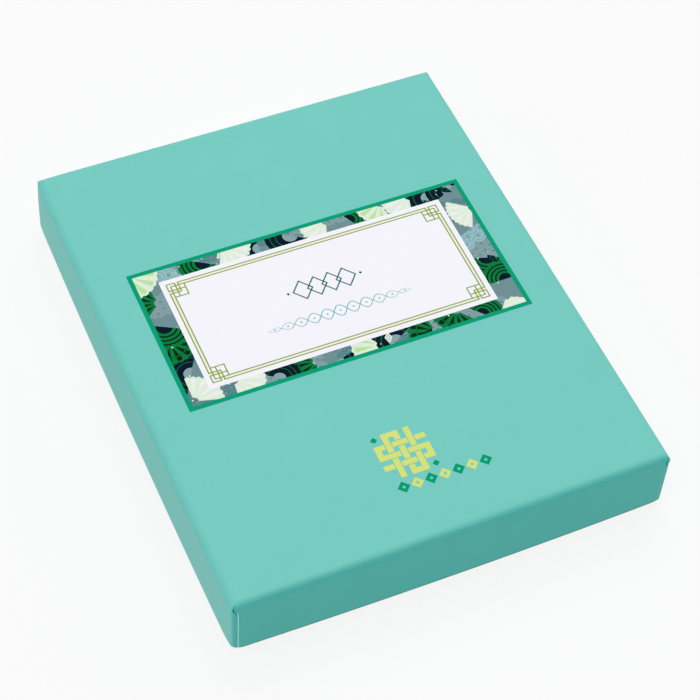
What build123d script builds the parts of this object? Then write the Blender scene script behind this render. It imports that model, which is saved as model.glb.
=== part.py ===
from build123d import *
import math
import os

# A two-piece rigid gift box (full-depth lift-off lid over a tray) with a
# padded two-leaf card folio lying in it. Millimetres, +Z up. The origin is
# the centre of the underside; X runs along the short side, Y along the long
# side, and the folio's spine lies along -X.

# ---------------------------------------------------------------- box sizes
LID_W = 190.0          # lid across the top, X
LID_L = 236.0          # lid across the top, Y
BOX_H = 31.5           # floor to lid top
RIM_Z = 0.4            # lid rim stands this far above the table
BOW_LONG = 0.9         # outward bow at the rim, middle of a long wall
BOW_SHORT = 0.95       # outward bow at the rim, middle of a short wall
LID_TOP_R = 3.2        # soft top edge of the wrapped lid

BOARD = 2.0            # greyboard
PAPER = 0.2            # wrap paper with its film
LINER = 0.2            # lining sheets
STAY = 0.12            # corner stay tape
LID_TURN_IN = 18.0     # wrap folded up inside the lid walls

SIDE_GAP = 0.4         # lid wall to tray wall, each side
TOP_GAP = 0.3          # tray rim to lid liner

# tray
TRAY_VERT_R = 1.2
TRAY_RIM_R = 0.8
TRAY_FLAP = 14.0       # wrap folded under the tray
RISER_T = 0.8          # folded paperboard riser
RISER_TOP_Z = 12.4

# -------------------------------------------------------------- folio sizes
FOLIO_W = 172.0        # closed, spine to fore edge, X
FOLIO_L = 218.0        # closed, head to tail, Y
FOLIO_Z0 = 12.7        # underside when it lies on the riser
FOLIO_T = 15.4         # closed thickness
LEATHER = 0.9
PAD = 3.0
COVER_BOARD = 2.0
LINING = 0.6
POCKET_T = 0.9         # stitched pocket band above the lining
CLEAR_T = 0.3          # clear pocket sheet
COVER_R = 7.0          # plan radius at the free corners
COVER_EDGE_R = 2.0     # rounded outer edge of the padded cover
HINGE_TO_COVER = 3.6   # fold line to the padded cover's edge
HINGE_TO_SPINE = 1.5   # fold line to the spine board
BAND = 3.5             # width of the pocket band
HINGE_GAP = 0.3        # fold roll to the leather flange

COVER_T = LEATHER + PAD + COVER_BOARD + LINING          # 6.5

os.makedirs("parts", exist_ok=True)


# ------------------------------------------------------------------ helpers
def slab(z0, z1, hx=150.0, hy=170.0):
    return Pos(0, 0, (z0 + z1) / 2) * Box(2 * hx, 2 * hy, z1 - z0)


def prism(hx, hy, z0, z1, r=0.0):
    outline = RectangleRounded(2 * hx, 2 * hy, r) if r > 0 else Rectangle(2 * hx, 2 * hy)
    return extrude(Pos(0, 0, z0) * outline, z1 - z0)


def box_between(x0, x1, y0, y1, z0, z1):
    return Pos((x0 + x1) / 2, (y0 + y1) / 2, (z0 + z1) / 2) * Box(x1 - x0, y1 - y0, z1 - z0)


def outline(hx, hy, bx, by, z):
    c = [(-hx, -hy, z), (hx, -hy, z), (hx, hy, z), (-hx, hy, z)]
    if bx < 1e-9:
        return Face(Wire([Edge.make_line(c[i], c[(i + 1) % 4]) for i in range(4)]))
    m = [(0, -hy - by, z), (hx + bx, 0, z), (0, hy + by, z), (-hx - bx, 0, z)]
    return Face(Wire([Edge.make_three_point_arc(c[i], m[i], c[(i + 1) % 4]) for i in range(4)]))


def bowed(inset):
    """The lid as a filled block, inset evenly, straight at the top and bowed
    outward at the rim."""
    hx, hy = LID_W / 2 - inset, LID_L / 2 - inset
    return loft([outline(hx, hy, BOW_LONG, BOW_SHORT, RIM_Z), outline(hx, hy, 0, 0, BOX_H)], ruled=True)


def soften(block, z_top, r_top):
    """Rounds the edges that lie in the plane z = z_top."""
    top = block.edges().filter_by(lambda e: abs(e.bounding_box().min.Z - z_top) < 1e-3
                                  and abs(e.bounding_box().max.Z - z_top) < 1e-3)
    return fillet(top, r_top)


def one(shape):
    """The single solid of a boolean's result."""
    s = shape.solids()
    assert len(s) == 1, len(s)
    return s[0]


nodes = {}

# ---------------------------------------------------------------- lid
b_top = BOX_H - PAPER                      # top of the lid board
b_low = RIM_Z + PAPER                      # its rim
cav_top = b_top - BOARD                    # underside of the lid board
lid_outer = soften(bowed(0.0), BOX_H, LID_TOP_R)
lid_core = soften(bowed(PAPER) & slab(b_low, b_top), b_top, LID_TOP_R - PAPER)
cav_in = PAPER + BOARD
lid_cavity = soften(bowed(cav_in) & slab(RIM_Z - 1, cav_top), cav_top, 1.0)

# stay tape round each vertical corner of the board, under the wrap
STAY_LEG, STAY_Z0, STAY_Z1 = 14.0, 2.5, 27.0
stay_zone = Part() + [box_between(*sorted((sx * (LID_W / 2 + 4), sx * (LID_W / 2 - STAY_LEG))),
                                  *sorted((sy * (LID_L / 2 + 4), sy * (LID_L / 2 - STAY_LEG))),
                                  STAY_Z0, STAY_Z1) for sx in (-1, 1) for sy in (-1, 1)]
stay_bed = bowed(PAPER + STAY)
stay_zone = stay_zone - stay_bed
nodes["lid_board"] = one(lid_core - lid_cavity - stay_zone)
nodes["lid_corner_stays"] = lid_core & stay_zone

# printed wrap: top, four walls, rim, and a turn-in up the inside
turn_inner = bowed(cav_in + PAPER)
wrap_skin = (lid_outer & slab(RIM_Z, BOX_H + 1)) - lid_core - (turn_inner & slab(RIM_Z - 1, b_low + 0.5))
turn_in = (bowed(cav_in) & slab(b_low, b_low + LID_TURN_IN)) - turn_inner
nodes["lid_wrap"] = one(wrap_skin + turn_in)
liner_inset = cav_in + 1.3
nodes["lid_liner"] = prism(LID_W / 2 - liner_inset, LID_L / 2 - liner_inset, cav_top - LINER, cav_top, 1.0)

# ---------------------------------------------------------------- tray
tray_hx = LID_W / 2 - cav_in - PAPER - SIDE_GAP          # 92.2
tray_hy = LID_L / 2 - cav_in - PAPER - SIDE_GAP          # 115.2
tray_top = cav_top - LINER - TOP_GAP                     # 28.8
floor_z0 = 2 * PAPER                                     # underside of the tray board
floor_z1 = floor_z0 + BOARD
in_hx, in_hy = tray_hx - 2 * PAPER - BOARD, tray_hy - 2 * PAPER - BOARD   # 89.8, 112.8

tray_block = prism(tray_hx - PAPER, tray_hy - PAPER, floor_z0, tray_top - PAPER, TRAY_VERT_R - PAPER)
tray_hollow = prism(in_hx + PAPER, in_hy + PAPER, floor_z1, tray_top + 1)
tray_board = tray_block - tray_hollow
rim_z = tray_top - PAPER
rim_edges = tray_board.edges().filter_by(lambda e: abs(e.bounding_box().min.Z - rim_z) < 1e-3
                                         and abs(e.bounding_box().max.Z - rim_z) < 1e-3)
tray_board = fillet(rim_edges, TRAY_RIM_R - PAPER)

tray_stay_zone = Part() + [box_between(*sorted((sx * (tray_hx + 4), sx * (tray_hx - STAY_LEG))),
                                       *sorted((sy * (tray_hy + 4), sy * (tray_hy - STAY_LEG))),
                                       STAY_Z0, STAY_Z1 - 1.5) for sx in (-1, 1) for sy in (-1, 1)]
tray_stay_zone = tray_stay_zone - prism(tray_hx - PAPER - STAY, tray_hy - PAPER - STAY, 0, 40,
                                        TRAY_VERT_R - PAPER - STAY)
nodes["tray_board"] = one(tray_board - tray_stay_zone)
nodes["tray_corner_stays"] = tray_board & tray_stay_zone

wrap_block = prism(tray_hx, tray_hy, PAPER, tray_top, TRAY_VERT_R)
wrap_block = wrap_block - prism(in_hx, in_hy, floor_z1, tray_top + 1)
rim_edges = wrap_block.edges().filter_by(lambda e: abs(e.bounding_box().min.Z - tray_top) < 1e-3
                                         and abs(e.bounding_box().max.Z - tray_top) < 1e-3)
wrap_block = fillet(rim_edges, TRAY_RIM_R)
tray_wrap = wrap_block - tray_board - prism(tray_hx - TRAY_FLAP, tray_hy - TRAY_FLAP, 0, floor_z0 + 0.01)
nodes["tray_wrap"] = one(tray_wrap)
nodes["tray_floor_liner"] = prism(in_hx - 0.1, in_hy - 0.1, floor_z1, floor_z1 + LINER)
nodes["tray_bottom_sheet"] = prism(tray_hx - 2.0, tray_hy - 2.0, 0, PAPER, 1.0)

# folded paperboard riser: a deck with four walls turned down
rz0 = floor_z1 + LINER
riser = prism(in_hx - 0.5, in_hy - 0.5, rz0, RISER_TOP_Z, 1.0)
riser = riser - prism(in_hx - 0.5 - RISER_T, in_hy - 0.5 - RISER_T, rz0 - 1, RISER_TOP_Z - RISER_T, 0.3)
nodes["riser_platform"] = one(riser)

# ---------------------------------------------------------------- folio
x_spine = -FOLIO_W / 2                      # outer leather of the spine
x_fore = FOLIO_W / 2                        # fore edge
hy_f = FOLIO_L / 2
hinge_x = x_spine + LEATHER / 2
hinge1_z = FOLIO_Z0 + LEATHER / 2
hinge2_z = FOLIO_Z0 + FOLIO_T - LEATHER / 2
x_cover = hinge_x + HINGE_TO_COVER          # where the padded cover starts


def cover_plan(inset, x0, r, z0, z1):
    """A plate from x0 to the fore edge with its two free corners rounded."""
    x1, hy = x_fore - inset, hy_f - inset
    p = box_between(x0, x1, -hy, hy, z0, z1)
    if r > 0:
        e = p.edges().filter_by(Axis.Z).filter_by(lambda e: e.center().X > x1 - 0.01)
        p = fillet(e, r)
    return p


def cover_parts():
    """The back cover, outer leather down, underside at z = 0."""
    out = {}
    z_pad, z_brd, z_lin = LEATHER, LEATHER + PAD, LEATHER + PAD + COVER_BOARD
    body = cover_plan(0, x_cover, COVER_R, 0, COVER_T)
    low = body.edges().filter_by(lambda e: e.bounding_box().max.Z < 1e-3
                                 and e.bounding_box().max.X > x_cover + 0.01)
    body = fillet(low, COVER_EDGE_R)
    core = cover_plan(LEATHER, x_cover - 1, COVER_R - LEATHER, z_pad, z_lin)
    core_low = core.edges().filter_by(lambda e: abs(e.bounding_box().max.Z - z_pad) < 1e-3
                                      and e.bounding_box().max.X > x_cover + 0.01)
    core = fillet(core_low, COVER_EDGE_R - LEATHER)
    core = core & box_between(x_cover, x_fore, -hy_f, hy_f, 0, COVER_T)
    lining = box_between(x_cover + 1.0, x_fore - 3.0, -(hy_f - 3.0), hy_f - 3.0, z_lin, COVER_T)
    e = lining.edges().filter_by(Axis.Z).filter_by(lambda e: e.center().X > x_fore - 3.01)
    lining = fillet(e, COVER_R - 3.0)
    lining_bed = lining + box_between(x_cover - 1, x_cover + 1.0, -(hy_f - 3.0), hy_f - 3.0, z_lin, COVER_T)
    skin = body - core - lining_bed
    flange = box_between(hinge_x + LEATHER / 2 + HINGE_GAP, x_cover, -hy_f, hy_f, 0, LEATHER)
    skin = skin + flange
    out["skin"] = one(skin)
    out["padding"] = one(core & slab(z_pad, z_brd))
    out["board"] = one(core & slab(z_brd, z_lin))
    out["lining"] = one(lining)
    # stitched pocket, open towards the spine
    bx0, bx1, by = x_cover + 6.0, x_fore - 3.0, hy_f - 2.5 - 0.5
    band = box_between(bx0, bx1, -by, by, COVER_T, COVER_T + POCKET_T)
    e = band.edges().filter_by(Axis.Z).filter_by(lambda e: e.center().X > bx1 - 0.01)
    band = fillet(e, COVER_R - 3.0)
    inner = box_between(bx0 - 1, bx1 - BAND, -(by - BAND), by - BAND, COVER_T - 1, COVER_T + POCKET_T + 1)
    e = inner.edges().filter_by(Axis.Z).filter_by(lambda e: e.center().X > bx1 - BAND - 0.01)
    inner = fillet(e, 1.5)
    band = band - inner
    zc = COVER_T + 0.3
    clear = box_between(bx0 + 4.0, bx1 - 1.5, -(by - 1.5), by - 1.5, zc, zc + CLEAR_T)
    clear = clear - Pos(bx0 + 4.0, 0, zc) * Cylinder(11.0, 4.0)
    out["pocket_sheet"] = one(clear)
    out["pocket_band"] = one(band - clear)
    return out


back = cover_parts()
to_back = Pos(0, 0, FOLIO_Z0)
for k, s in back.items():
    nodes["folio_back_" + k] = to_back * s
z_mid = FOLIO_Z0 + FOLIO_T / 2
for k, s in back.items():
    nodes["folio_front_" + k] = mirror(to_back * s, Plane.XY.offset(z_mid))

# spine: leather strip with a rounded fold roll along each edge, board, lining
roll = Cylinder(LEATHER / 2, FOLIO_L, rotation=(90, 0, 0))
spine_skin = box_between(x_spine, x_spine + LEATHER, -hy_f, hy_f, hinge1_z, hinge2_z)
spine_skin = spine_skin + Pos(hinge_x, 0, hinge1_z) * roll + Pos(hinge_x, 0, hinge2_z) * roll
nodes["folio_spine_skin"] = one(spine_skin)
s0, s1 = hinge1_z + HINGE_TO_SPINE, hinge2_z - HINGE_TO_SPINE
xs = x_spine + LEATHER
nodes["folio_spine_board"] = box_between(xs, xs + COVER_BOARD, -(hy_f - 1.0), hy_f - 1.0, s0, s1)
nodes["folio_spine_lining"] = box_between(xs + COVER_BOARD, xs + COVER_BOARD + LINING,
                                          -(hy_f - 2.0), hy_f - 2.0, s0, s1)

for name, shape in nodes.items():
    solids = shape.solids()
    out = solids[0] if len(solids) == 1 else Compound(children=list(solids))
    assert all(s.is_valid for s in solids), name
    export_step(out, "parts/" + name + ".step")
    bb = out.bounding_box()
    print(f"{name:26s} {len(solids)} solid(s) {sum(s.volume for s in solids):12.2f} mm3 "
          f"x {bb.min.X:8.2f} {bb.max.X:8.2f} y {bb.min.Y:8.2f} {bb.max.Y:8.2f} z {bb.min.Z:7.2f} {bb.max.Z:7.2f}")
print("fold lines: x", hinge_x, "z", hinge1_z, hinge2_z, "| cover starts at x", x_cover)
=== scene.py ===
import bpy
import bmesh
import math
import random
import numpy as np
from mathutils import Matrix, Vector
from mathutils.geometry import delaunay_2d_cdt


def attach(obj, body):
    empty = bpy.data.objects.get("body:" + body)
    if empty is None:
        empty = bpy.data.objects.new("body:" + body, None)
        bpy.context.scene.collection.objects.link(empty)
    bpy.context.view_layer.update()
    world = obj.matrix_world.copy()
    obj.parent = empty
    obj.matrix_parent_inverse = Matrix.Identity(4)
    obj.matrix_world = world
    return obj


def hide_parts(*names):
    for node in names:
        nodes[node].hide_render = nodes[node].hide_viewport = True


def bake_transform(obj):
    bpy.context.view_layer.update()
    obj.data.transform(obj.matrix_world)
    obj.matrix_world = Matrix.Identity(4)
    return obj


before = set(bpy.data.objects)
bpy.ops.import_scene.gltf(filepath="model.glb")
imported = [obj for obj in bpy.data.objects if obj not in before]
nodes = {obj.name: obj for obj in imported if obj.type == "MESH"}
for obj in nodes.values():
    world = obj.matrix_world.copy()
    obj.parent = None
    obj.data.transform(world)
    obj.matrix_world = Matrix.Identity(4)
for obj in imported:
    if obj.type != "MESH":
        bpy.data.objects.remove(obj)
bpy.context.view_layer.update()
scene = bpy.context.scene
MM = 0.001

# Everything below is worked out in millimetres in the box's own frame: +Z up,
# X along the short side, Y along the long side, origin under the centre.
LID_W, LID_L, BOX_H, RIM_Z = 190.0, 236.0, 31.5, 0.3
BOW_X, BOW_Y = 0.9, 1.2
TRAY_W, TRAY_L, TRAY_H = 184.4, 230.4, 28.8


# ------------------------------------------------------------------ camera
def make_camera():
    rot = ((0.917193314, -0.396393301, 0.04035809),
           (-0.289972347, -0.733535018, -0.614688877),
           (0.273262625, 0.552085799, -0.78773651))
    place = (-0.2439198, -0.5052742, 0.7231564)
    axes = Matrix((rot[0], [-v for v in rot[1]], [-v for v in rot[2]])).transposed()
    cam = bpy.data.cameras.new("camera")
    cam.sensor_fit = "HORIZONTAL"
    cam.sensor_width = 36.0
    cam.lens = 2119.2073 * 36.0 / 700.0
    cam.clip_start, cam.clip_end = 0.01, 20.0
    ob = bpy.data.objects.new("camera", cam)
    ob.matrix_world = Matrix.Translation(place) @ axes.to_4x4()
    scene.collection.objects.link(ob)
    scene.camera = ob


make_camera()

# ------------------------------------------------------------- colour and light
scene.view_settings.view_transform = "Standard"
scene.view_settings.look = "None"
scene.view_settings.exposure = 0.0
scene.view_settings.gamma = 1.0
# a studio photograph's tone curve: the deep tones a little deeper
scene.view_settings.use_curve_mapping = True
tone_map = scene.view_settings.curve_mapping
curve = tone_map.curves[3]
for at in ((0.04, 0.017), (0.10, 0.053), (0.13, 0.088), (0.18, 0.175), (0.23, 0.23), (0.36, 0.36), (0.6, 0.6)):
    curve.points.new(*at)
for point in curve.points:
    point.handle_type = "AUTO_CLAMPED"
tone_map.update()


def area_light(name, place, aim, size, watts, colour=(1, 1, 1)):
    lamp = bpy.data.lights.new(name, "AREA")
    lamp.shape = "RECTANGLE"
    lamp.size, lamp.size_y = size
    lamp.energy = watts
    lamp.color = colour
    ob = bpy.data.objects.new(name, lamp)
    way = (Vector(aim) - Vector(place)).normalized()
    ob.matrix_world = Matrix.Translation(place) @ way.to_track_quat("-Z", "Y").to_matrix().to_4x4()
    ob.visible_camera = False
    scene.collection.objects.link(ob)
    return ob


WORLD, TOP, LEFT, BACK, RIGHT = 0.08, 16.9, 5.35, 18.9, 7.2
FLOOR_GLOW = 0.819
WRAP_SPEC = 0.04

world = bpy.data.worlds.new("studio")
scene.world = world
world.use_nodes = True
bg = world.node_tree.nodes["Background"]
bg.inputs["Color"].default_value = (1, 1, 1, 1)
bg.inputs["Strength"].default_value = WORLD
# beyond the floor's edge the studio is as pale as the floor
pale = world.node_tree.nodes.new("ShaderNodeBackground")
pale.inputs["Color"].default_value = (1, 1, 1, 1)
pale.inputs["Strength"].default_value = 0.955
seen = world.node_tree.nodes.new("ShaderNodeLightPath")
both = world.node_tree.nodes.new("ShaderNodeMixShader")
world.node_tree.links.new(seen.outputs["Is Camera Ray"], both.inputs[0])
world.node_tree.links.new(bg.outputs[0], both.inputs[1])
world.node_tree.links.new(pale.outputs[0], both.inputs[2])
world.node_tree.links.new(both.outputs[0], world.node_tree.nodes["World Output"].inputs["Surface"])
# large lights far off, so that they fall the same way on a raised lid
area_light("soft_top", (-1.4, -1.0, 6.4), (0, 0, 0), (5.6, 5.6), 16 * TOP)
area_light("soft_left", (-6.0, 0.0, 2.4), (0, 0, 0.02), (4.8, 3.2), 16 * LEFT, (0.95, 1.0, 1.07))
area_light("soft_back", (2.4, 4.8, 6.4), (0, 0, 0), (6.0, 4.4), 16 * BACK)
area_light("soft_right", (6.4, 1.2, 2.8), (0, 0, 0.02), (4.8, 3.2), 16 * RIGHT)


# ------------------------------------------------------------------ materials
def srgb(r, g, b):
    out = []
    for v in (r, g, b):
        v /= 255.0
        out.append(v / 12.92 if v <= 0.04045 else ((v + 0.055) / 1.055) ** 2.4)
    return tuple(out)


class Nodes:
    """A small builder for a node material around one Principled shader."""

    def __init__(self, name):
        self.mat = bpy.data.materials.new(name)
        self.mat.use_nodes = True
        self.t = self.mat.node_tree
        self.p = self.t.nodes["Principled BSDF"]
        self.where = None

    def add(self, kind, **props):
        n = self.t.nodes.new(kind)
        for k, v in props.items():
            setattr(n, k, v)
        return n

    def coords(self):
        if self.where is None:
            self.where = self.add("ShaderNodeTexCoord").outputs["Object"]
        return self.where

    def link(self, a, b):
        self.t.links.new(a, b)

    def noise(self, scale, detail=3.0, rough=0.55, stretch=None, distortion=0.0):
        n = self.add("ShaderNodeTexNoise")
        n.inputs["Scale"].default_value = scale
        n.inputs["Detail"].default_value = detail
        n.inputs["Roughness"].default_value = rough
        n.inputs["Distortion"].default_value = distortion
        if stretch:
            m = self.add("ShaderNodeMapping")
            m.inputs["Scale"].default_value = stretch
            self.link(self.coords(), m.inputs["Vector"])
            self.link(m.outputs[0], n.inputs["Vector"])
        else:
            self.link(self.coords(), n.inputs["Vector"])
        return n.outputs["Fac"]

    def cells(self, scale, feature="F1", smooth=0.3, randomness=1.0):
        n = self.add("ShaderNodeTexVoronoi", feature=feature)
        n.inputs["Scale"].default_value = scale
        n.inputs["Randomness"].default_value = randomness
        if feature == "SMOOTH_F1":
            n.inputs["Smoothness"].default_value = smooth
        self.link(self.coords(), n.inputs["Vector"])
        return n.outputs["Distance"]

    def ramp(self, value, stops):
        n = self.add("ShaderNodeValToRGB")
        e = n.color_ramp.elements
        while len(e) < len(stops):
            e.new(0.5)
        for s, (at, c) in zip(e, stops):
            s.position = at
            s.color = (*c, 1.0) if len(c) == 3 else c
        self.link(value, n.inputs["Fac"])
        return n.outputs["Color"]

    def remap(self, value, lo, hi, a=0.0, b=1.0):
        n = self.add("ShaderNodeMapRange")
        n.inputs["From Min"].default_value = a
        n.inputs["From Max"].default_value = b
        n.inputs["To Min"].default_value = lo
        n.inputs["To Max"].default_value = hi
        self.link(value, n.inputs["Value"])
        return n.outputs["Result"]

    def math(self, op, a, b=None):
        n = self.add("ShaderNodeMath", operation=op)
        for i, v in enumerate((a, b)):
            if v is None:
                continue
            if isinstance(v, (int, float)):
                n.inputs[i].default_value = v
            else:
                self.link(v, n.inputs[i])
        return n.outputs[0]

    def mix(self, fac, a, b, mode="MIX"):
        n = self.add("ShaderNodeMix", data_type="RGBA", blend_type=mode)
        for s, v in ((n.inputs[0], fac), (n.inputs[6], a), (n.inputs[7], b)):
            if isinstance(v, (int, float)):
                s.default_value = v
            elif isinstance(v, tuple):
                s.default_value = (*v, 1.0) if len(v) == 3 else v
            else:
                self.link(v, s)
        return n.outputs[2]

    def bump(self, height, distance, strength=1.0, under=None):
        n = self.add("ShaderNodeBump")
        n.inputs["Distance"].default_value = distance
        n.inputs["Strength"].default_value = strength
        self.link(height, n.inputs["Height"])
        if under is not None:
            self.link(under, n.inputs["Normal"])
        return n.outputs["Normal"]

    def set(self, **values):
        names = {"rough": "Roughness", "spec": "Specular IOR Level", "ior": "IOR", "coat": "Coat Weight",
                 "coat_rough": "Coat Roughness", "sheen": "Sheen Weight", "sheen_rough": "Sheen Roughness",
                 "base": "Base Color", "normal": "Normal", "alpha": "Alpha", "trans": "Transmission Weight",
                 "metal": "Metallic"}
        for k, v in values.items():
            s = self.p.inputs[names[k]]
            if isinstance(v, (int, float)):
                s.default_value = v
            elif isinstance(v, tuple):
                s.default_value = (*v, 1.0) if len(v) == 3 else v
            else:
                self.link(v, s)
        return self.mat


def scaled(c, k):
    return tuple(min(1.0, v * k) for v in c)


TEAL = (0.178, 0.575, 0.512)


def wrap_paper():
    """Matte-laminated art paper: even ink with a trace of mottle, a satin film."""
    n = Nodes("teal_wrap_paper")
    mottle = n.noise(38.0, 4.0, 0.6)
    fibre = n.noise(900.0, 2.0, 0.5)
    tone = n.ramp(mottle, [(0.3, scaled(TEAL, 0.985)), (0.7, scaled(TEAL, 1.015))])
    tone = n.mix(n.remap(fibre, 0.0, 0.06), tone, scaled(TEAL, 1.5))
    film = n.bump(n.noise(260.0, 3.0, 0.5), 0.000012)
    film = n.bump(fibre, 0.000004, 1.0, film)
    return n.set(base=tone, rough=n.remap(mottle, 0.40, 0.47, 0.3, 0.7), normal=film, spec=WRAP_SPEC)


def ink(name, colour, rough=0.43):
    """A flat ink colour under the same film: the printed inks, and also the painted shade on the lid's seam and lower
    front edge. Its colour is even, as print is.
    """
    n = Nodes(name)
    film = n.bump(n.noise(260.0, 3.0, 0.5), 0.000010)
    film = n.bump(n.noise(1400.0, 2.0, 0.5), 0.000003, 1.0, film)
    return n.set(base=colour, rough=n.remap(n.noise(42.0, 4.0, 0.6), rough - 0.03, rough + 0.04, 0.3, 0.7),
                 normal=film, spec=WRAP_SPEC)


def core_paper():
    n = Nodes("paper_core")
    f = n.noise(3000.0, 3.0, 0.7)
    return n.set(base=n.ramp(f, [(0.25, (0.36, 0.90, 0.80)), (0.75, (0.48, 0.98, 0.90))]), rough=0.85,
                 normal=n.bump(f, 0.00002), spec=0.05)


def white_paper(name="lining_paper", tint=(0.80, 0.80, 0.77)):
    n = Nodes(name)
    fibre = n.noise(700.0, 4.0, 0.65, stretch=(1.0, 0.35, 1.0))
    cloud = n.noise(60.0, 3.0, 0.5)
    tone = n.ramp(cloud, [(0.3, scaled(tint, 0.955)), (0.7, scaled(tint, 1.02))])
    tone = n.mix(n.remap(fibre, 0.0, 0.12, 0.35, 0.75), tone, scaled(tint, 0.86))
    return n.set(base=tone, rough=n.remap(fibre, 0.72, 0.9), normal=n.bump(fibre, 0.00003, 0.6), spec=0.35)


def kraft():
    n = Nodes("kraft_tape")
    fibre = n.noise(500.0, 4.0, 0.7, stretch=(1.0, 1.0, 0.2))
    return n.set(base=n.ramp(fibre, [(0.3, (0.36, 0.25, 0.15)), (0.7, (0.52, 0.38, 0.24))]), rough=0.7,
                 normal=n.bump(fibre, 0.00003), spec=0.35)


def greyboard():
    n = Nodes("greyboard")
    big = n.noise(160.0, 4.0, 0.7)
    fine = n.noise(1300.0, 3.0, 0.7)
    tone = n.ramp(big, [(0.3, (0.26, 0.24, 0.21)), (0.7, (0.36, 0.335, 0.30))])
    specks = n.cells(700.0)
    tone = n.mix(n.remap(specks, 0.55, 0.0, 0.05, 0.22), tone, (0.10, 0.09, 0.08))
    tone = n.mix(n.remap(fine, 0.0, 0.35, 0.45, 0.8), tone, (0.52, 0.49, 0.44))
    return n.set(base=tone, rough=0.92, normal=n.bump(fine, 0.00008, 0.8), spec=0.25)


def riser_board():
    n = Nodes("riser_boxboard")
    cloud = n.noise(50.0, 3.0, 0.5)
    fine = n.noise(900.0, 3.0, 0.6)
    tone = n.ramp(cloud, [(0.3, (0.74, 0.745, 0.72)), (0.7, (0.79, 0.79, 0.765))])
    tone = n.mix(n.remap(fine, 0.0, 0.08, 0.4, 0.8), tone, (0.62, 0.61, 0.57))
    return n.set(base=tone, rough=n.remap(fine, 0.55, 0.68), normal=n.bump(fine, 0.00002, 0.6), spec=0.4)


LEATHER = (0.155, 0.50, 0.425)


def leatherette(name="mint_leatherette", tint=LEATHER):
    """Soft embossed pebble grain: cells about 0.9 mm with fine pores in them."""
    n = Nodes(name)
    pebble = n.cells(1150.0, "SMOOTH_F1", 0.35)
    crease = n.cells(1150.0, "DISTANCE_TO_EDGE")
    soft = n.noise(75.0, 4.0, 0.55)
    pores = n.noise(4200.0, 2.0, 0.6)
    tone = n.ramp(soft, [(0.3, scaled(tint, 0.93)), (0.7, scaled(tint, 1.06))])
    tone = n.mix(n.remap(crease, 0.45, 0.0, 0.0, 0.10), tone, scaled(tint, 0.62))
    grain = n.bump(n.remap(pebble, 1.0, 0.0, 0.0, 0.75), 0.00016, 0.55)
    grain = n.bump(pores, 0.00002, 0.4, grain)
    grain = n.bump(soft, 0.0004, 0.25, grain)
    return n.set(base=tone, rough=n.remap(pebble, 0.42, 0.56, 0.0, 0.7), normal=grain, spec=0.5)


def lining_cloth():
    """Short-napped lining with a barely visible weave."""
    n = Nodes("lining_cloth")
    nap = n.noise(2600.0, 4.0, 0.7)
    drift = n.noise(45.0, 3.0, 0.5, stretch=(1.0, 0.6, 1.0))
    wx = n.add("ShaderNodeTexWave", wave_type="BANDS", bands_direction="X")
    wy = n.add("ShaderNodeTexWave", wave_type="BANDS", bands_direction="Y")
    for w in (wx, wy):
        w.inputs["Scale"].default_value = 420.0
        w.inputs["Distortion"].default_value = 1.2
        w.inputs["Detail"].default_value = 1.0
        w.inputs["Detail Scale"].default_value = 2.0
        n.link(n.coords(), w.inputs["Vector"])
    weave = n.math("MULTIPLY", wx.outputs["Fac"], wy.outputs["Fac"])
    tone = n.ramp(drift, [(0.3, (0.70, 0.67, 0.58)), (0.7, (0.77, 0.74, 0.65))])
    tone = n.mix(n.remap(weave, 0.22, 0.0), tone, (0.52, 0.49, 0.41))
    tone = n.mix(n.remap(nap, 0.0, 0.25, 0.4, 0.8), tone, (0.84, 0.82, 0.74))
    b = n.bump(weave, 0.00007, 0.6)
    b = n.bump(nap, 0.00005, 0.6, b)
    return n.set(base=tone, rough=0.92, normal=b, spec=0.2, sheen=0.25, sheen_rough=0.4)


def foam():
    n = Nodes("foam_padding")
    c = n.cells(1800.0)
    return n.set(base=n.ramp(c, [(0.05, (0.45, 0.44, 0.38)), (0.5, (0.78, 0.77, 0.69))]), rough=0.95,
                 normal=n.bump(c, 0.0003, 0.7), spec=0.2)


def thread(name, tint):
    n = Nodes(name)
    twist = n.add("ShaderNodeTexWave", wave_type="BANDS", bands_direction="DIAGONAL")
    twist.inputs["Scale"].default_value = 900.0
    twist.inputs["Distortion"].default_value = 0.6
    n.link(n.coords(), twist.inputs["Vector"])
    return n.set(base=n.ramp(twist.outputs["Fac"], [(0.1, scaled(tint, 0.7)), (0.8, tint)]), rough=0.6,
                 normal=n.bump(twist.outputs["Fac"], 0.00006, 0.7), spec=0.4)


def clear_film():
    """Clear flexible sheet: sees through, with a gloss that grows at a slant
    and faint rubbed haze."""
    n = Nodes("clear_film")
    haze = n.noise(30.0, 4.0, 0.65, stretch=(1.0, 0.3, 1.0))
    slant = n.add("ShaderNodeLayerWeight")
    slant.inputs["Blend"].default_value = 0.5
    gloss = n.math("MULTIPLY", n.math("POWER", slant.outputs["Facing"], 5.0), 0.30)
    share = n.math("ADD", gloss, n.remap(haze, 0.022, 0.040, 0.45, 0.75))
    clear = n.add("ShaderNodeBsdfTransparent")
    clear.inputs["Color"].default_value = (0.975, 0.99, 0.985, 1.0)
    mix = n.add("ShaderNodeMixShader")
    n.link(share, mix.inputs[0])
    n.link(clear.outputs[0], mix.inputs[1])
    n.link(n.p.outputs[0], mix.inputs[2])
    n.link(mix.outputs[0], n.t.nodes["Material Output"].inputs["Surface"])
    ripple = n.bump(n.noise(34.0, 2.0, 0.5, stretch=(1.0, 0.55, 1.0)), 0.0009, 0.5)
    return n.set(base=(0.93, 0.96, 0.96), metal=1.0, rough=0.11,
                 normal=n.bump(n.noise(70.0, 2.0, 0.5), 0.00012, 0.35, ripple))


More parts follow.
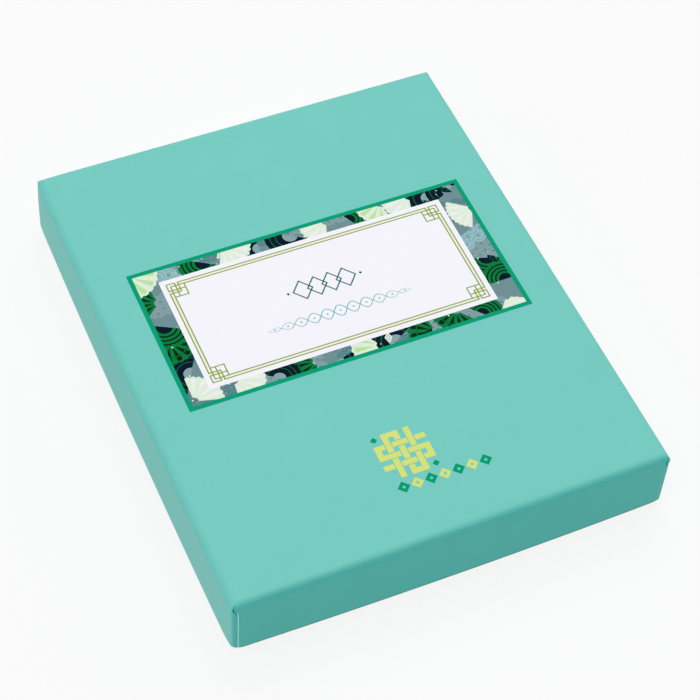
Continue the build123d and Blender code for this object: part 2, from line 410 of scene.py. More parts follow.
M_WRAP = wrap_paper()
M_CORE = core_paper()
M_GAP = ink("seam_shadow", (0.045, 0.30, 0.26), 0.7)
# painted contact shadow: a thin dark band along the lid's lower front edge, where it meets the floor
M_RIM_SHADOW = ink("rim_contact_shadow", (0.018, 0.135, 0.105), 0.55)
M_WHITE = white_paper()
M_KRAFT = kraft()
M_BOARD = greyboard()
M_RISER = riser_board()
M_LEATHER = leatherette()
M_LINING = lining_cloth()
M_FOAM = foam()
M_THREAD = thread("stitch_thread", (0.62, 0.78, 0.70))
M_CLEAR = clear_film()


def floor_material():
    n = Nodes("pale_floor")
    soft = n.noise(6.0, 2.0, 0.5)
    mat = n.set(base=n.ramp(soft, [(0.3, (0.138, 0.138, 0.138)), (0.7, (0.142, 0.142, 0.142))]), rough=0.95, spec=0.0)
    n.p.inputs["Emission Color"].default_value = (1, 1, 1, 1)
    n.p.inputs["Emission Strength"].default_value = FLOOR_GLOW
    return mat




# ------------------------------------------------------------------ mesh tools
def to_object(name, verts, faces, mats, fmat=None, smooth=True, sharp=35.0, recalc=True, merge=1e-4):
    """Makes a mesh object from millimetre vertices, with outward normals."""
    me = bpy.data.meshes.new(name)
    me.from_pydata((np.asarray(verts, float) * MM).tolist(), [], [list(map(int, f)) for f in faces])
    for m in mats:
        me.materials.append(m)
    if fmat is not None:
        me.polygons.foreach_set("material_index", np.asarray(fmat, np.int32))
    bm = bmesh.new()
    bm.from_mesh(me)
    if merge:
        bmesh.ops.remove_doubles(bm, verts=bm.verts, dist=merge * MM)
    if recalc:
        bmesh.ops.recalc_face_normals(bm, faces=bm.faces)
    bm.to_mesh(me)
    bm.free()
    me.polygons.foreach_set("use_smooth", np.full(len(me.polygons), bool(smooth)))
    if smooth:
        me.set_sharp_from_angle(angle=math.radians(sharp))
    me.update()
    ob = bpy.data.objects.new(name, me)
    scene.collection.objects.link(ob)
    return ob


def place(ob, body, slot=None, replaces=()):
    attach(ob, body)
    if replaces:
        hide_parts(*replaces)
    return ob


def fill_flat(ring, inner=()):
    """Triangles over a flat closed ring (n, 3), with optional points inside.
    Returns the new vertices and the faces by index, ring first."""
    n = len(ring)
    pts = [Vector((p[0], p[1])) for p in ring] + [Vector((p[0], p[1])) for p in inner]
    edges = [(i, (i + 1) % n) for i in range(n)]
    v, _, f, ov, _, _ = delaunay_2d_cdt(pts, edges, [], 1, 1e-7)
    where = {}
    for i, src in enumerate(ov):
        where[i] = src[0] if src else None
    return v, f, where


def ring_mesh(rings, loop=False, cap0=None, cap1=None):
    """Vertices and quads over a list of rings with equal point counts.
    cap0 and cap1 close the ends with one flat face each, or with a list of
    inner points for a finer flat face. Also returns (row, column) per quad."""
    rings = [np.asarray(r, float) for r in rings]
    n, rows = len(rings[0]), len(rings)
    verts = [p for r in rings for p in r]
    faces, tags = [], []
    for i in range(rows if loop else rows - 1):
        a, b = i * n, ((i + 1) % rows) * n
        for j in range(n):
            k = (j + 1) % n
            faces.append((a + j, a + k, b + k, b + j))
            tags.append((i, j))
    for which, cap in ((0, cap0), (rows - 1, cap1)):
        if cap is None:
            continue
        base = which * n
        if cap is True:
            faces.append(tuple(base + j for j in range(n)))
            tags.append((which, -1))
            continue
        v, f, where = fill_flat(rings[which], [(p[0], p[1]) for p in cap])
        z_of = [p[2] for p in cap]
        index = {}
        for i, src in where.items():
            if src is not None and src < n:
                index[i] = base + src
            else:
                z = z_of[src - n] if src is not None else float(rings[which][0][2])
                index[i] = len(verts)
                verts.append(np.array((v[i].x, v[i].y, z)))
        for tri in f:
            faces.append(tuple(index[i] for i in tri))
            tags.append((which, -1))
    return verts, faces, tags


def smooth_step(x, a, b):
    t = min(1.0, max(0.0, (x - a) / (b - a)))
    return t * t * (3 - 2 * t)


# ------------------------------------------------------------ wrapped box shells
CORNER_LIFT = {(-1, -1): 1.0, (1, -1): 0.4, (1, 1): 0.5, (-1, 1): 0.55}


def rim_lift(x, y):
    """The lid's lower edge is worn up a little at each corner."""
    corner = (1 if x > 0 else -1, 1 if y > 0 else -1)
    dx, dy = LID_W / 2 - abs(x), LID_L / 2 - abs(y)
    along_short = np.interp(dx, (0, 0.6, 1.0, 1.5, 1.9, 2.3, 2.7, 3.1, 3.5, 4.0, 4.6),
                            (2.5, 2.15, 1.8, 1.5, 1.2, 0.98, 0.73, 0.42, 0.24, 0.1, 0))
    along_long = np.interp(dy, (0, 1.5, 2.6, 3.6, 4.7, 5.8, 8.0, 11.0),
                           (2.5, 2.2, 1.75, 1.3, 0.9, 0.6, 0.3, 0))
    return float(min(along_short if dx > dy else along_long, 2.5)) * CORNER_LIFT[corner]


def box_ring(half_x, half_y, z, rc, bow=(0.0, 0.0), strip=(0.0, 0.0, 0.0), cut=2.5, edge=0.34, lift=0.0,
             kx=48, ky=64, ka=8, near=None, right=None):
    """One level outline of a wrapped box. On the two short walls the strip
    beside each corner lies back: there the long side's paper goes round the
    corner, and the short side's panel is cut short at distance cut. strip is
    how far back it lies at the corner's end, half way, and at the panel; edge is
    the width of the panel's sloping cut edge; lift scales the worn rim; near
    is how far from the panel the half-way point is; right is the cut and the
    strip of the front wall's right end, where they differ."""
    bx, by = bow
    rc = max(rc, 0.05)
    pts = []
    ends = rc

    def stations(cut, strip):
        foot = max(cut - edge / 2, ends + 0.2)
        crest = max(cut + edge / 2, foot + edge * 0.6)
        mid = (ends + foot) / 2 if near is None else max(foot - near, ends + 0.06)
        return [(ends, strip[0]), (mid, strip[1]), (foot, strip[2]), (crest, 0.0)]

    def short_wall(sy):
        """From -X to +X on the wall at sign sy."""
        row = []
        special = stations(cut, strip)
        far = stations(*right) if right and sy < 0 else special
        for d, back in special:
            row.append((-half_x + d, back))
        x0, x1 = -half_x + special[-1][0], half_x - far[-1][0]
        for i in range(1, kx):
            u = i / kx
            u = u - 0.55 * math.sin(2 * math.pi * u) / (2 * math.pi)     # closer together near the ends
            row.append((x0 + (x1 - x0) * u, 0.0))
        for d, back in reversed(far):
            row.append((half_x - d, back))
        out = []
        for x, back in row:
            swell = by * max(0.0, 1 - (x / (half_x - ends)) ** 2)
            out.append((x, sy * (half_y - back + swell)))
        return out

    def long_wall(sx):
        """From -Y to +Y on the wall at sign sx, without its ends."""
        out = []
        y0 = half_y - ends
        for i in range(1, ky):
            u = i / ky
            u = u - 0.75 * math.sin(2 * math.pi * u) / (2 * math.pi)
            y = -y0 + 2 * y0 * u
            swell = bx * max(0.0, 1 - (y / y0) ** 2)
            out.append((sx * (half_x + swell), y))
        return out

    def corner(sx, sy):
        """From the long wall's end to the short wall's start, both included on
        the long side only."""
        out = []
        cx, cy = half_x - rc, half_y - rc
        for i in range(ka):
            a = (i / ka) * math.pi / 2
            out.append((sx * (cx + rc * math.cos(a)), sy * (cy + (rc - strip[0]) * math.sin(a))))
        return out

    pts += short_wall(-1)                       # -X to +X, ends at the arc
    pts += list(reversed(corner(1, -1)))        # round to the +X wall
    pts += long_wall(1)
    pts += corner(1, 1)
    pts += list(reversed(short_wall(1)))
    pts += list(reversed(corner(-1, 1)))
    pts += list(reversed(long_wall(-1)))
    pts += corner(-1, -1)
    if lift:
        return np.array([(x, y, z + lift * rim_lift(x, y)) for x, y in pts])
    return np.array([(x, y, z) for x, y in pts])


def short_wall_columns(kx=48, ky=64, ka=8):
    """Column numbers in box_ring: for each of the four ends of the short walls,
    the first of its strips, in the order (arc end, mid), (mid, foot), (foot,
    crest), as (strip columns) lists."""
    m = 4 + (kx - 1) + 4
    first = [0, 1, 2], [m - 2, m - 3, m - 4]
    off = m + ka + (ky - 1) + ka
    second = [off, off + 1, off + 2], [off + m - 2, off + m - 3, off + m - 4]
    return first + second


def bow_at(z):
    f = min(1.0, max(0.0, (BOX_H - z) / (BOX_H - RIM_Z)))
    return BOW_X * f, BOW_Y * f


def top_wave(x, y):
    """The top's very slight unevenness, always downward."""
    edge = smooth_step(min(LID_W / 2 - 3.2 - abs(x), LID_L / 2 - 3.2 - abs(y)), 0.0, 9.0)
    w = 0.5 + 0.22 * math.sin(x / 15.0 + 0.4) * math.cos(y / 19.0) + 0.28 * math.sin(x / 33.0 - y / 27.0 + 1.1)
    return -0.055 * edge * w


def lid_cut(z):
    """Distance of the short panel's cut edge from the corner: straight, then
    slanting towards the corner, and back into the soft top edge."""
    return float(np.interp(z, (0.0, 24.7, 27.3, 28.1, 28.8, 29.7, 30.3, 30.9, 31.3),
                           (2.84, 2.92, 2.40, 1.80, 1.45, 1.42, 1.55, 2.10, 2.6)))


def lift_at(z):
    """How much of the worn rim's lift a level takes part in."""
    return 1 - smooth_step(z, RIM_Z, RIM_Z + 4.8)


def lean_in(verts):
    """The lid's back left corner is rubbed rounder, and leans in a little,
    towards its top."""
    v = np.array(verts, float)
    r = 2.4
    px, py = r - (v[:, 0] + LID_W / 2), r - (LID_L / 2 - v[:, 1])
    far = np.hypot(px, py)
    inside = (px > 0) & (py > 0) & (far > r)
    up = np.clip((v[:, 2] - 19.0) / 9.0, 0, 1)
    pull = np.where(inside, (1 - (r + 0.4 * (far - r)) / np.maximum(far, 1e-6)) * up * up * (3 - 2 * up), 0.0)
    v[:, 0] += px * pull
    v[:, 1] -= py * pull
    dx, dy = v[:, 0] + LID_W / 2, LID_L / 2 - v[:, 1]
    deep = np.minimum(LID_W / 2 - np.abs(v[:, 0]), LID_L / 2 - np.abs(v[:, 1]))
    w = np.exp(-(np.maximum(dx, 0) / 8) ** 2 - (np.maximum(dy, 0) / 6) ** 2 - (np.maximum(deep - 0.4, 0) / 1.3) ** 2)
    flat = v[:, 2] > BOX_H - 3.3
    w[flat] = np.exp(-(np.maximum(dx, 0) / 8) ** 2 - (np.maximum(dy, 0) / 6) ** 2)[flat]
    w *= (np.clip(v[:, 2], 0, BOX_H) / BOX_H) ** 1.3
    v[:, 0] += 0.60 * w
    v[:, 1] -= 0.20 * w
    return v


def lid_wrap_piece():
    r_top, r_rim = 3.2, 0.45
    rings, kinds = [], []

    def add(inset, z, corner, outside, kind):
        strip = (0.0, 0.0, 0.0)
        cut = 2.5 - min(inset, 1.5)
        right = None
        if outside:
            k = (1 - smooth_step(z, 30.4, 31.1)) * smooth_step(z, RIM_Z - 0.01, RIM_Z + 0.4)
            g = smooth_step(z, 28.3, 29.0) * (1 - smooth_step(z, 30.5, 31.2))
            strip = (0.03 * k, 0.15 * k + 0.35 * g, 0.27 * k + 0.19 * g)
            cut = max(0.3, lid_cut(z) - inset)
            # the front wall's right ear is narrower, and closes better at its top
            right = (max(0.3, min(lid_cut(z), 1.95) - inset), (0.03 * k, 0.15 * k + 0.06 * g, 0.24 * k + 0.04 * g))
        rings.append(box_ring(LID_W / 2 - inset, LID_L / 2 - inset, z, corner, bow_at(z), strip, cut,
                              lift=lift_at(z), near=0.40 if outside else None, right=right))
        kinds.append((kind, z))

    def corner_at(z, inset):
        """The radius of the upright corners, by height."""
        r = float(np.interp(z, (0.0, 5.0, 26.5, 28.5, 29.8, 31.5), (1.45, 1.25, 1.25, 0.75, 0.5, 0.4)))
        return max(0.3, r)

    # seen sheet: top plane, soft edge, wall, rim, turned-in edge
    steps = 12
    for i in range(steps + 1):
        a = math.pi / 2 * (1 - i / steps)
        inset = r_top * (1 - math.cos(a))
        z = BOX_H - r_top + r_top * math.sin(a)
        add(inset, z, corner_at(z, inset), True, "edge")
    for z in (28.0, 27.7, 27.3, 26.8, 26.2, 25.4, 24.8, 24.2, 22.0, 19.0, 16.0, 13.0, 10.0, 7.5, 5.6, 4.2, 3.0, 2.0, 1.3):
        add(0.0, z, corner_at(z, 0.0), True, "wall")
    add(0.0, 1.0, corner_at(1.0, 0.0), True, "foot")
    for i in range(5):
        a = math.pi / 2 * i / 4
        add(r_rim * (1 - math.cos(a)), RIM_Z + r_rim - r_rim * math.sin(a), 1.35 - 0.3 * math.sin(a), True, "rim")
    add(1.2, RIM_Z, 0.7, False, "rim")
    for i in range(5):
        a = math.pi / 2 * (1 - i / 4)
        add(2.4 - r_rim * (1 - math.cos(a)), RIM_Z + r_rim - r_rim * math.sin(a), 0.5, False, "in")
    for z in (2.0, 3.5, 6.0, 11.0, 16.0, 18.2):
        add(2.4, z, 0.5, False, "in")
    add(2.37, 18.45, 0.5, False, "end")
    add(2.22, 18.55, 0.5, False, "end")
    # back of the sheet
    for z in (16.0, 8.0, 4.0, 2.0, 0.85):
        add(2.2, z, 0.5, False, "back")
    add(2.1, 0.66, 0.5, False, "back")
    add(1.2, 0.62, 0.6, False, "back")
    add(0.45, 0.66, 0.9, False, "back")
    for z in (0.9, 2.0, 4.0, 6.0, 12.0, 18.0, 24.0, 26.6):
        rings.append(box_ring(LID_W / 2 - 0.24, LID_L / 2 - 0.24, z, 1.1, bow_at(z), (0.04, 0.12, 0.22), 2.6,
                              lift=lift_at(z)))
        kinds.append(("back", z))
    # behind the small notch the sheet dips into the gap at the board's corner
    for z in (27.9, 28.3):
        rings.append(box_ring(LID_W / 2 - 0.24, LID_L / 2 - 0.24, z, 1.0, bow_at(z), (0.4, 0.5, 0.45), 1.5))
        kinds.append(("back", z))
    for i in range(1, 6):
        a = math.pi / 2 * i / 5
        inset = 0.24 + 2.96 * (1 - math.cos(a))
        dip = 0.5 * (1 - i / 5) ** 0.5
        rings.append(box_ring(LID_W / 2 - inset, LID_L / 2 - inset, 28.3 + 2.96 * math.sin(a), 0.3 + 0.6 * (1 - math.sin(a)),
                              bow_at(30), (0.8 * dip, dip, 0.9 * dip), 1.6))
        kinds.append(("back", 30.0))

    top = []
    for i in range(1, 31):
        for j in range(1, 38):
            x = -LID_W / 2 + 3.2 + (LID_W - 6.4) * i / 31
            y = -LID_L / 2 + 3.2 + (LID_L - 6.4) * j / 38
            top.append((x, y, BOX_H + top_wave(x, y)))
    verts, faces, tags = ring_mesh(rings, cap0=top, cap1=True)
    strips = short_wall_columns()
    core = {s[2] for s in strips}
    open_ends = [s for i, s in enumerate(strips) if i != 1]
    groove, beside = {s[1] for s in strips}, {s[0] for s in open_ends}
    across = set(range(4 + 47 + 4))
    fmat = []
    for row, col in tags:
        kind, z = kinds[row]
        m = 0
        if col >= 0 and kind in ("edge", "wall", "foot", "rim"):
            if col in core and RIM_Z + 0.2 < z <= 27.6:
                m = 1
            elif col in groove and 25.5 < z <= (30.9 if col != strips[1][1] else 28.9) or col in beside and 28.7 < z <= 30.9:
                m = 2
            # the front wall's foot row and lower rim rows are painted dark: a painted contact shadow along its bottom
            # edge
            elif col in across and (kind == "foot" or kind == "rim" and z > RIM_Z + 0.1):
                m = 4
        if kind in ("end", "back"):
            m = 3
        fmat.append(m)
    ob = to_object("lid_wrap_paper", lean_in(verts), faces, [M_WRAP, M_CORE, M_GAP, M_WHITE, M_RIM_SHADOW], fmat, sharp=38.0)
    return place(ob, "lid", "wrap_paper", ["lid_wrap"])


def lid_board_piece():
    """The greyboard shell, with its corners eased so that the paper can turn."""
    rings = []

    def add(inset, z, rc):
        rings.append(box_ring(LID_W / 2 - inset, LID_L / 2 - inset, z, rc, bow_at(z), (0, 0, 0), 2.9,
                              lift=lift_at(z), kx=24, ky=32, ka=6))

    for i in range(5):
        a = math.pi / 2 * (1 - i / 4)
        add(2.21 + 1.0 * (1 - math.cos(a)), 28.3 + 1.0 * math.sin(a), 0.5)
    for z in (24.0, 18.0, 12.0, 7.0, 4.0, 2.0, 1.0):
        add(2.21, z, 0.5)
    add(2.0, 0.70, 0.5)
    add(0.75, 0.70, 1.6)
    add(0.50, 0.95, 2.0)
    for z in (2.0, 4.0, 7.0, 12.0, 18.0, 24.0):
        add(0.38, z, 2.2)
    add(0.38, 28.3, 2.8)
    for i in range(1, 6):
        a = math.pi / 2 * i / 5
        add(0.38 + 2.8 * (1 - math.cos(a)), 28.3 + 2.8 * math.sin(a), 2.8)
    verts, faces, _ = ring_mesh(rings, cap0=True, cap1=True)
    ob = to_object("lid_greyboard", lean_in(verts), faces, [M_BOARD], sharp=38.0)
    return place(ob, "lid", "greyboard", ["lid_board"])


def corner_tapes(name, hx, hy, rc, inset, thick, z0, z1, leg, body, node, bow=True):
    """Four thin tapes, each bent round one vertical corner of the board."""
    verts, faces = [], []
    for sx, sy in ((-1, -1), (1, -1), (1, 1), (-1, 1)):
        path = []
        cx, cy = hx - rc, hy - rc
        for i in range(5):
            path.append((hx, hy - leg + (leg - rc) * i / 5, 1.0, 0.0))
        for i in range(9):
            a = math.pi / 2 * i / 8
            path.append((cx + rc * math.cos(a), cy + rc * math.sin(a), math.cos(a), math.sin(a)))
        for i in range(1, 6):
            path.append((cx - (leg - rc) * i / 5, hy, 0.0, 1.0))
        rows = [z0 + (z1 - z0) * k / 6 for k in range(7)]
        base = len(verts)
        grid = len(path)
        for side in (inset, inset + thick):
            for z in rows:
                bx, by = bow_at(z) if bow else (0, 0)
                for i, (x, y, nx, ny) in enumerate(path):
                    swell_x = bx * max(0.0, 1 - (y / (hy - 1.3)) ** 2) * nx
                    swell_y = by * max(0.0, 1 - (x / (hx - 1.3)) ** 2) * ny
                    ragged = 0.18 * math.sin(i * 2.1 + z) if i in (0, grid - 1) else 0.0
                    verts.append((sx * (x - nx * side + swell_x - (1 - nx) * ragged * (i == grid - 1)),
                                  sy * (y - ny * side + swell_y - ragged * (i == 0)), z))
        n_side = grid * len(rows)
        for k in range(len(rows) - 1):
            for i in range(grid - 1):
                a = base + k * grid + i
                faces.append((a, a + 1, a + grid + 1, a + grid))
                b = a + n_side
                faces.append((b, b + grid, b + grid + 1, b + 1))
        for i in range(grid - 1):
            for k in (0, len(rows) - 1):
                a = base + k * grid + i
                faces.append((a, a + n_side, a + n_side + 1, a + 1))
        for k in range(len(rows) - 1):
            for i in (0, grid - 1):
                a = base + k * grid + i
                faces.append((a, a + grid, a + grid + n_side, a + n_side))
    ob = to_object(name, lean_in(verts) if bow else verts, faces, [M_KRAFT], sharp=50.0)
    return place(ob, body, "stay_tape", [node])


def tray_wrap_piece():
    """The tray's paper: turned under the floor, up the walls, over the rim and
    down inside to the floor."""
    rings, kinds = [], []

    def add(inset, z, rc, outside, kind):
        ear = 0.14 * smooth_step(z, 0.3, 0.9) * (1 - smooth_step(z, TRAY_H - 0.9, TRAY_H - 0.3)) if outside else 0.0
        rings.append(box_ring(TRAY_W / 2 - inset, TRAY_L / 2 - inset, z, rc, (0, 0), (0.2 * ear, 0.6 * ear, ear),
                              max(0.3, 2.6 - inset) if outside else 2.5 - min(inset, 1.5)))
        kinds.append((kind, z))

    add(14.0, 0.22, 0.6, False, "under")
    for inset in (10.0, 5.0, 1.6):
        add(inset, 0.2, 0.8, False, "under")
    for i in range(5):
        a = math.pi / 2 * i / 4
        add(0.5 - 0.5 * math.sin(a), 0.7 - 0.5 * math.cos(a), 1.1, True, "wall")
    for z in (1.2, 4.0, 8.0, 12.0, 16.0, 20.0, 24.0, 27.0, 27.6):
        add(0.0, z, 1.2, True, "wall")
    for i in range(7):
        a = math.pi / 2 * i / 6
        add(0.8 * (1 - math.cos(a)), 28.0 + 0.8 * math.sin(a), 1.2 - 0.3 * math.sin(a), True, "rim")
    for i in range(7):
        a = math.pi / 2 * (1 - i / 6)
        add(2.4 - 0.8 * (1 - math.cos(a)), 28.0 + 0.8 * math.sin(a), 0.5, False, "in")
    for z in (26.0, 20.0, 12.0, 6.0, 3.2):
        add(2.4, z, 0.4, False, "in")
    add(2.4, 2.42, 0.4, False, "in")
    for z in (2.44, 8.0, 16.0, 24.0, 28.0):
        add(2.2, z, 0.45, False, "back")
    for i in range(1, 6):
        a = math.pi / 2 * i / 5
        add(2.2 - 0.6 * (1 - math.cos(a)), 28.0 + 0.6 * math.sin(a), 0.5, False, "back")
    for i in range(6):
        a = math.pi / 2 * (1 - i / 5)
        add(0.2 + 0.6 * (1 - math.cos(a)), 28.0 + 0.6 * math.sin(a), 1.0, False, "back")
    for z in (24.0, 16.0, 8.0, 1.0):
        add(0.2, z, 1.0, False, "back")
    add(0.3, 0.5, 1.0, False, "back")
    add(0.7, 0.395, 0.9, False, "back")
    for inset in (5.0, 14.0):
        add(inset, 0.395, 0.7, False, "back")
    verts, faces, tags = ring_mesh(rings, loop=True)
    core = {s[2] for s in short_wall_columns()}
    fmat = []
    for row, col in tags:
        kind, z = kinds[row]
        m = 0
        if col in core and kind == "wall" and 0.7 < z < 27.5:
            m = 1
        if kind == "back":
            m = 2
        fmat.append(m)
    ob = to_object("tray_wrap_paper", verts, faces, [M_WRAP, M_CORE, M_WHITE], fmat, sharp=38.0)
    return place(ob, "tray", "wrap_paper", ["tray_wrap"])


lid_wrap_piece()
lid_board_piece()
corner_tapes("lid_corner_tapes", LID_W / 2 - 0.2, LID_L / 2 - 0.2, 1.6, 0.12, 0.05, 4.6, 26.5, 14.0,
             "lid", "lid_corner_stays")
tray_wrap_piece()


# ------------------------------------------------------------------ printed inks
def within(points, outline):
    """Which of the points lie inside a closed outline, by its winding."""
    p = np.asarray(outline, float)
    q = np.roll(p, -1, axis=0)
    box = (points >= p.min(axis=0)).all(axis=1) & (points <= p.max(axis=0)).all(axis=1)
    out = np.zeros(len(points), bool)
    some = points[box]
    if not len(some):
        return out
    x, y = some[:, :1], some[:, 1:]
    x0, y0, x1, y1 = p[:, 0], p[:, 1], q[:, 0], q[:, 1]
    side = (x1 - x0) * (y - y0) - (x - x0) * (y1 - y0)
    up = (y0 <= y) & (y1 > y) & (side > 0)
    down = (y0 > y) & (y1 <= y) & (side < 0)
    out[box] = (up.sum(axis=1) - down.sum(axis=1)) != 0
    return out


def print_piece(name, base, shapes, inks, z_top, depth, body, slot="wrap_paper"):
    """A print as a very thin closed layer. base is the outline of what is
    printed (or None where only the shapes are); shapes is a list of (ink,
    outline), painted in order. The layer is cut along every outline, so each
    colour has a crisp edge at any size."""
    everything = ([base] if base else []) + list(shapes)
    pts, edges = [], []
    for colour, outline in everything:
        n, m = len(pts), len(outline)
        pts += [Vector((float(x), float(y))) for x, y in outline]
        edges += [(n + i, n + (i + 1) % m) for i in range(m)]
    v, _, f, _, _, _ = delaunay_2d_cdt(pts, edges, [], 0, 1e-4, False)
    co = np.array([(q.x, q.y) for q in v])
    tri = np.array([tuple(t) for t in f])
    mid = co[tri].mean(axis=1)
    u, w = co[tri[:, 1]] - co[tri[:, 0]], co[tri[:, 2]] - co[tri[:, 0]]
    area = np.abs(u[:, 0] * w[:, 1] - u[:, 1] * w[:, 0]) / 2
    names = sorted(inks)
    tint = np.full(len(tri), -1)
    for k, (colour, outline) in enumerate(everything):
        inside = within(mid, outline)
        tint[inside] = -1 if colour is None else names.index(colour)
    if base:
        tint[~within(mid, base[1])] = -1
    keep = (tint >= 0) & (area > 1e-7)
    tris = [tuple(t) for t in tri[keep]]
    cols = tint[keep].tolist()
    used = sorted({i for t in tris for i in t})
    where = {i: k for k, i in enumerate(used)}
    top = [(v[i].x, v[i].y, z_top(v[i].x, v[i].y)) for i in used]
    low = [(x, y, z - depth) for x, y, z in top]
    n = len(used)
    verts = top + low
    faces, fmat, rim = [], [], {}
    for t, c in zip(tris, cols):
        a, b, d = (where[i] for i in t)
        faces.append((a, b, d))
        fmat.append(c)
        faces.append((a + n, d + n, b + n))
        fmat.append(c)
        for e in ((a, b), (b, d), (d, a)):
            rim[e] = c
    for (a, b), c in rim.items():
        if (b, a) not in rim:
            faces.append((b, a, a + n, b + n))
            fmat.append(c)
    ob = to_object(name, verts, faces, [inks[k] for k in names], fmat, smooth=False, recalc=False, merge=0)
    return place(ob, body, slot)


def stroke(points, width, taper=0.0, close=False):
    """The outline of a line of that width along points."""
    p = np.array(points, float)
    n = len(p)
    d = np.gradient(p, axis=0) if not close else np.roll(p, -1, 0) - np.roll(p, 1, 0)
    d /= np.maximum(np.linalg.norm(d, axis=1), 1e-9)[:, None]
    side = np.stack([-d[:, 1], d[:, 0]], 1)
    w = np.full(n, width / 2.0)
    if taper:
        s = np.linspace(0, 1, n)
        w = width / 2.0 * (1 - taper * np.abs(2 * s - 1) ** 2.2)
    left, right = p + side * w[:, None], p - side * w[:, None]
    return [tuple(q) for q in left] + [tuple(q) for q in right[::-1]]


def bezier(a, b, c, d, n=22):
    t = np.linspace(0, 1, n)[:, None]
    a, b, c, d = (np.array(q, float) for q in (a, b, c, d))
    return (1 - t) ** 3 * a + 3 * (1 - t) ** 2 * t * b + 3 * (1 - t) * t ** 2 * c + t ** 3 * d


def disc(x, y, r, n=20, squash=1.0, turn=0.0):
    out = []
    for i in range(n):
        a = 2 * math.pi * i / n
        u, w = r * math.cos(a), r * squash * math.sin(a)
        out.append((x + u * math.cos(turn) - w * math.sin(turn), y + u * math.sin(turn) + w * math.cos(turn)))
    return out


def bar(x0, y0, x1, y1, w):
    """A straight line with square ends that reach half its width further."""
    d = np.array((x1 - x0, y1 - y0), float)
    length = np.linalg.norm(d)
    d /= length
    s = np.array((-d[1], d[0])) * w / 2
    a, b = np.array((x0, y0)) - d * w / 2, np.array((x1, y1)) + d * w / 2
    return [tuple(a + s), tuple(a - s), tuple(b - s), tuple(b + s)]


def rect(x0, y0, x1, y1):
    return [(x0, y0), (x1, y0), (x1, y1), (x0, y1)]


def outline_of(points, w):
    """Four-sided or many-sided line drawing: one bar for each side."""
    out = []
    for i in range(len(points)):
        (x0, y0), (x1, y1) = points[i], points[(i + 1) % len(points)]
        out.append(bar(x0, y0, x1, y1, w))
    return out


# label: measured places, in millimetres on the lid's top
LX0, LX1, LY0, LY1 = -76.74, 77.91, -26.01, 50.49
PX0, PX1, PY0, PY1 = -65.20, 65.42, -18.27, 42.41
FX0, FX1, FY0, FY1 = -62.66, 62.88, -15.60, 39.79
BORDER = 1.95


def fan(cx, cy, r, a0, spread, ribs, face, rib, tip=None):
    """A folding fan: a pleated sector with a scalloped rim and thin ribs."""
    out = []
    inner = 0.16 * r
    n = ribs * 6
    rim = []
    for i in range(n + 1):
        a = a0 + spread * i / n
        k = r * (1 + 0.055 * abs(math.sin(math.pi * i / 6)))
        rim.append((cx + k * math.cos(a), cy + k * math.sin(a)))
    hub = [(cx + inner * math.cos(a0 + spread * (1 - i / 6)), cy + inner * math.sin(a0 + spread * (1 - i / 6)))
           for i in range(7)]
    out.append((face, rim + hub))
    for k in range(ribs):
        if k % 2:
            a, b = a0 + spread * k / ribs, a0 + spread * (k + 1) / ribs
            out.append((rib, [(cx + inner * 1.3 * math.cos((a + b) / 2), cy + inner * 1.3 * math.sin((a + b) / 2)),
                              (cx + 0.9 * r * math.cos(a), cy + 0.9 * r * math.sin(a)),
                              (cx + 0.97 * r * math.cos((a + b) / 2), cy + 0.97 * r * math.sin((a + b) / 2)),
                              (cx + 0.9 * r * math.cos(b), cy + 0.9 * r * math.sin(b))]))
    if tip:
        arc = [(cx + 0.72 * r * math.cos(a0 + spread * i / 24), cy + 0.72 * r * math.sin(a0 + spread * i / 24))
               for i in range(25)]
        out.append((tip, stroke(arc, 0.07 * r)))
    return out


def arches(x, y, turn, r, face, line, lines=(0.80, 0.58), heart=None):
    """A half round with thin arcs in it, and a small half round at its middle."""
    out = []

    def half(k):
        return [(x + k * r * math.cos(turn + math.pi * i / 22), y + k * r * math.sin(turn + math.pi * i / 22))
                for i in range(23)]

    out.append((face, half(1.0)))
    for k in lines:
        out.append((line, half(k)))
        out.append((face, half(k - 0.055)))
    if heart:
        out.append((heart, half(0.30)))
    return out


def waves(x, y, turn, r, rows, face, line, across=(-1, 0, 1)):
    """Overlapping scallops, each with an inner arc."""
    out = []
    c, s = math.cos(turn), math.sin(turn)
    for j in range(rows):
        for i in across:
            u, v = (i + 0.5 * (j % 2)) * 2 * r, -j * 0.62 * r
            px, py = x + u * c - v * s, y + u * s + v * c
            for k, tint in ((1.0, face), (0.80, line), (0.66, face), (0.36, line)):
                out.append((tint, [(px + k * r * math.cos(turn + math.pi * i / 10),
                                    py + k * r * math.sin(turn + math.pi * i / 10)) for i in range(11)]))
    return out


def lozenge(x, y, a, b, turn, face, line):
    """A diamond with an inner diamond line."""
    c, s = math.cos(turn), math.sin(turn)

    def ring(k):
        return [(x + u * c - v * s, y + u * s + v * c) for u, v in ((a * k, 0), (0, b * k), (-a * k, 0), (0, -b * k))]

    return [(face, ring(1.0)), (line, ring(0.56)), (face, ring(0.40))]


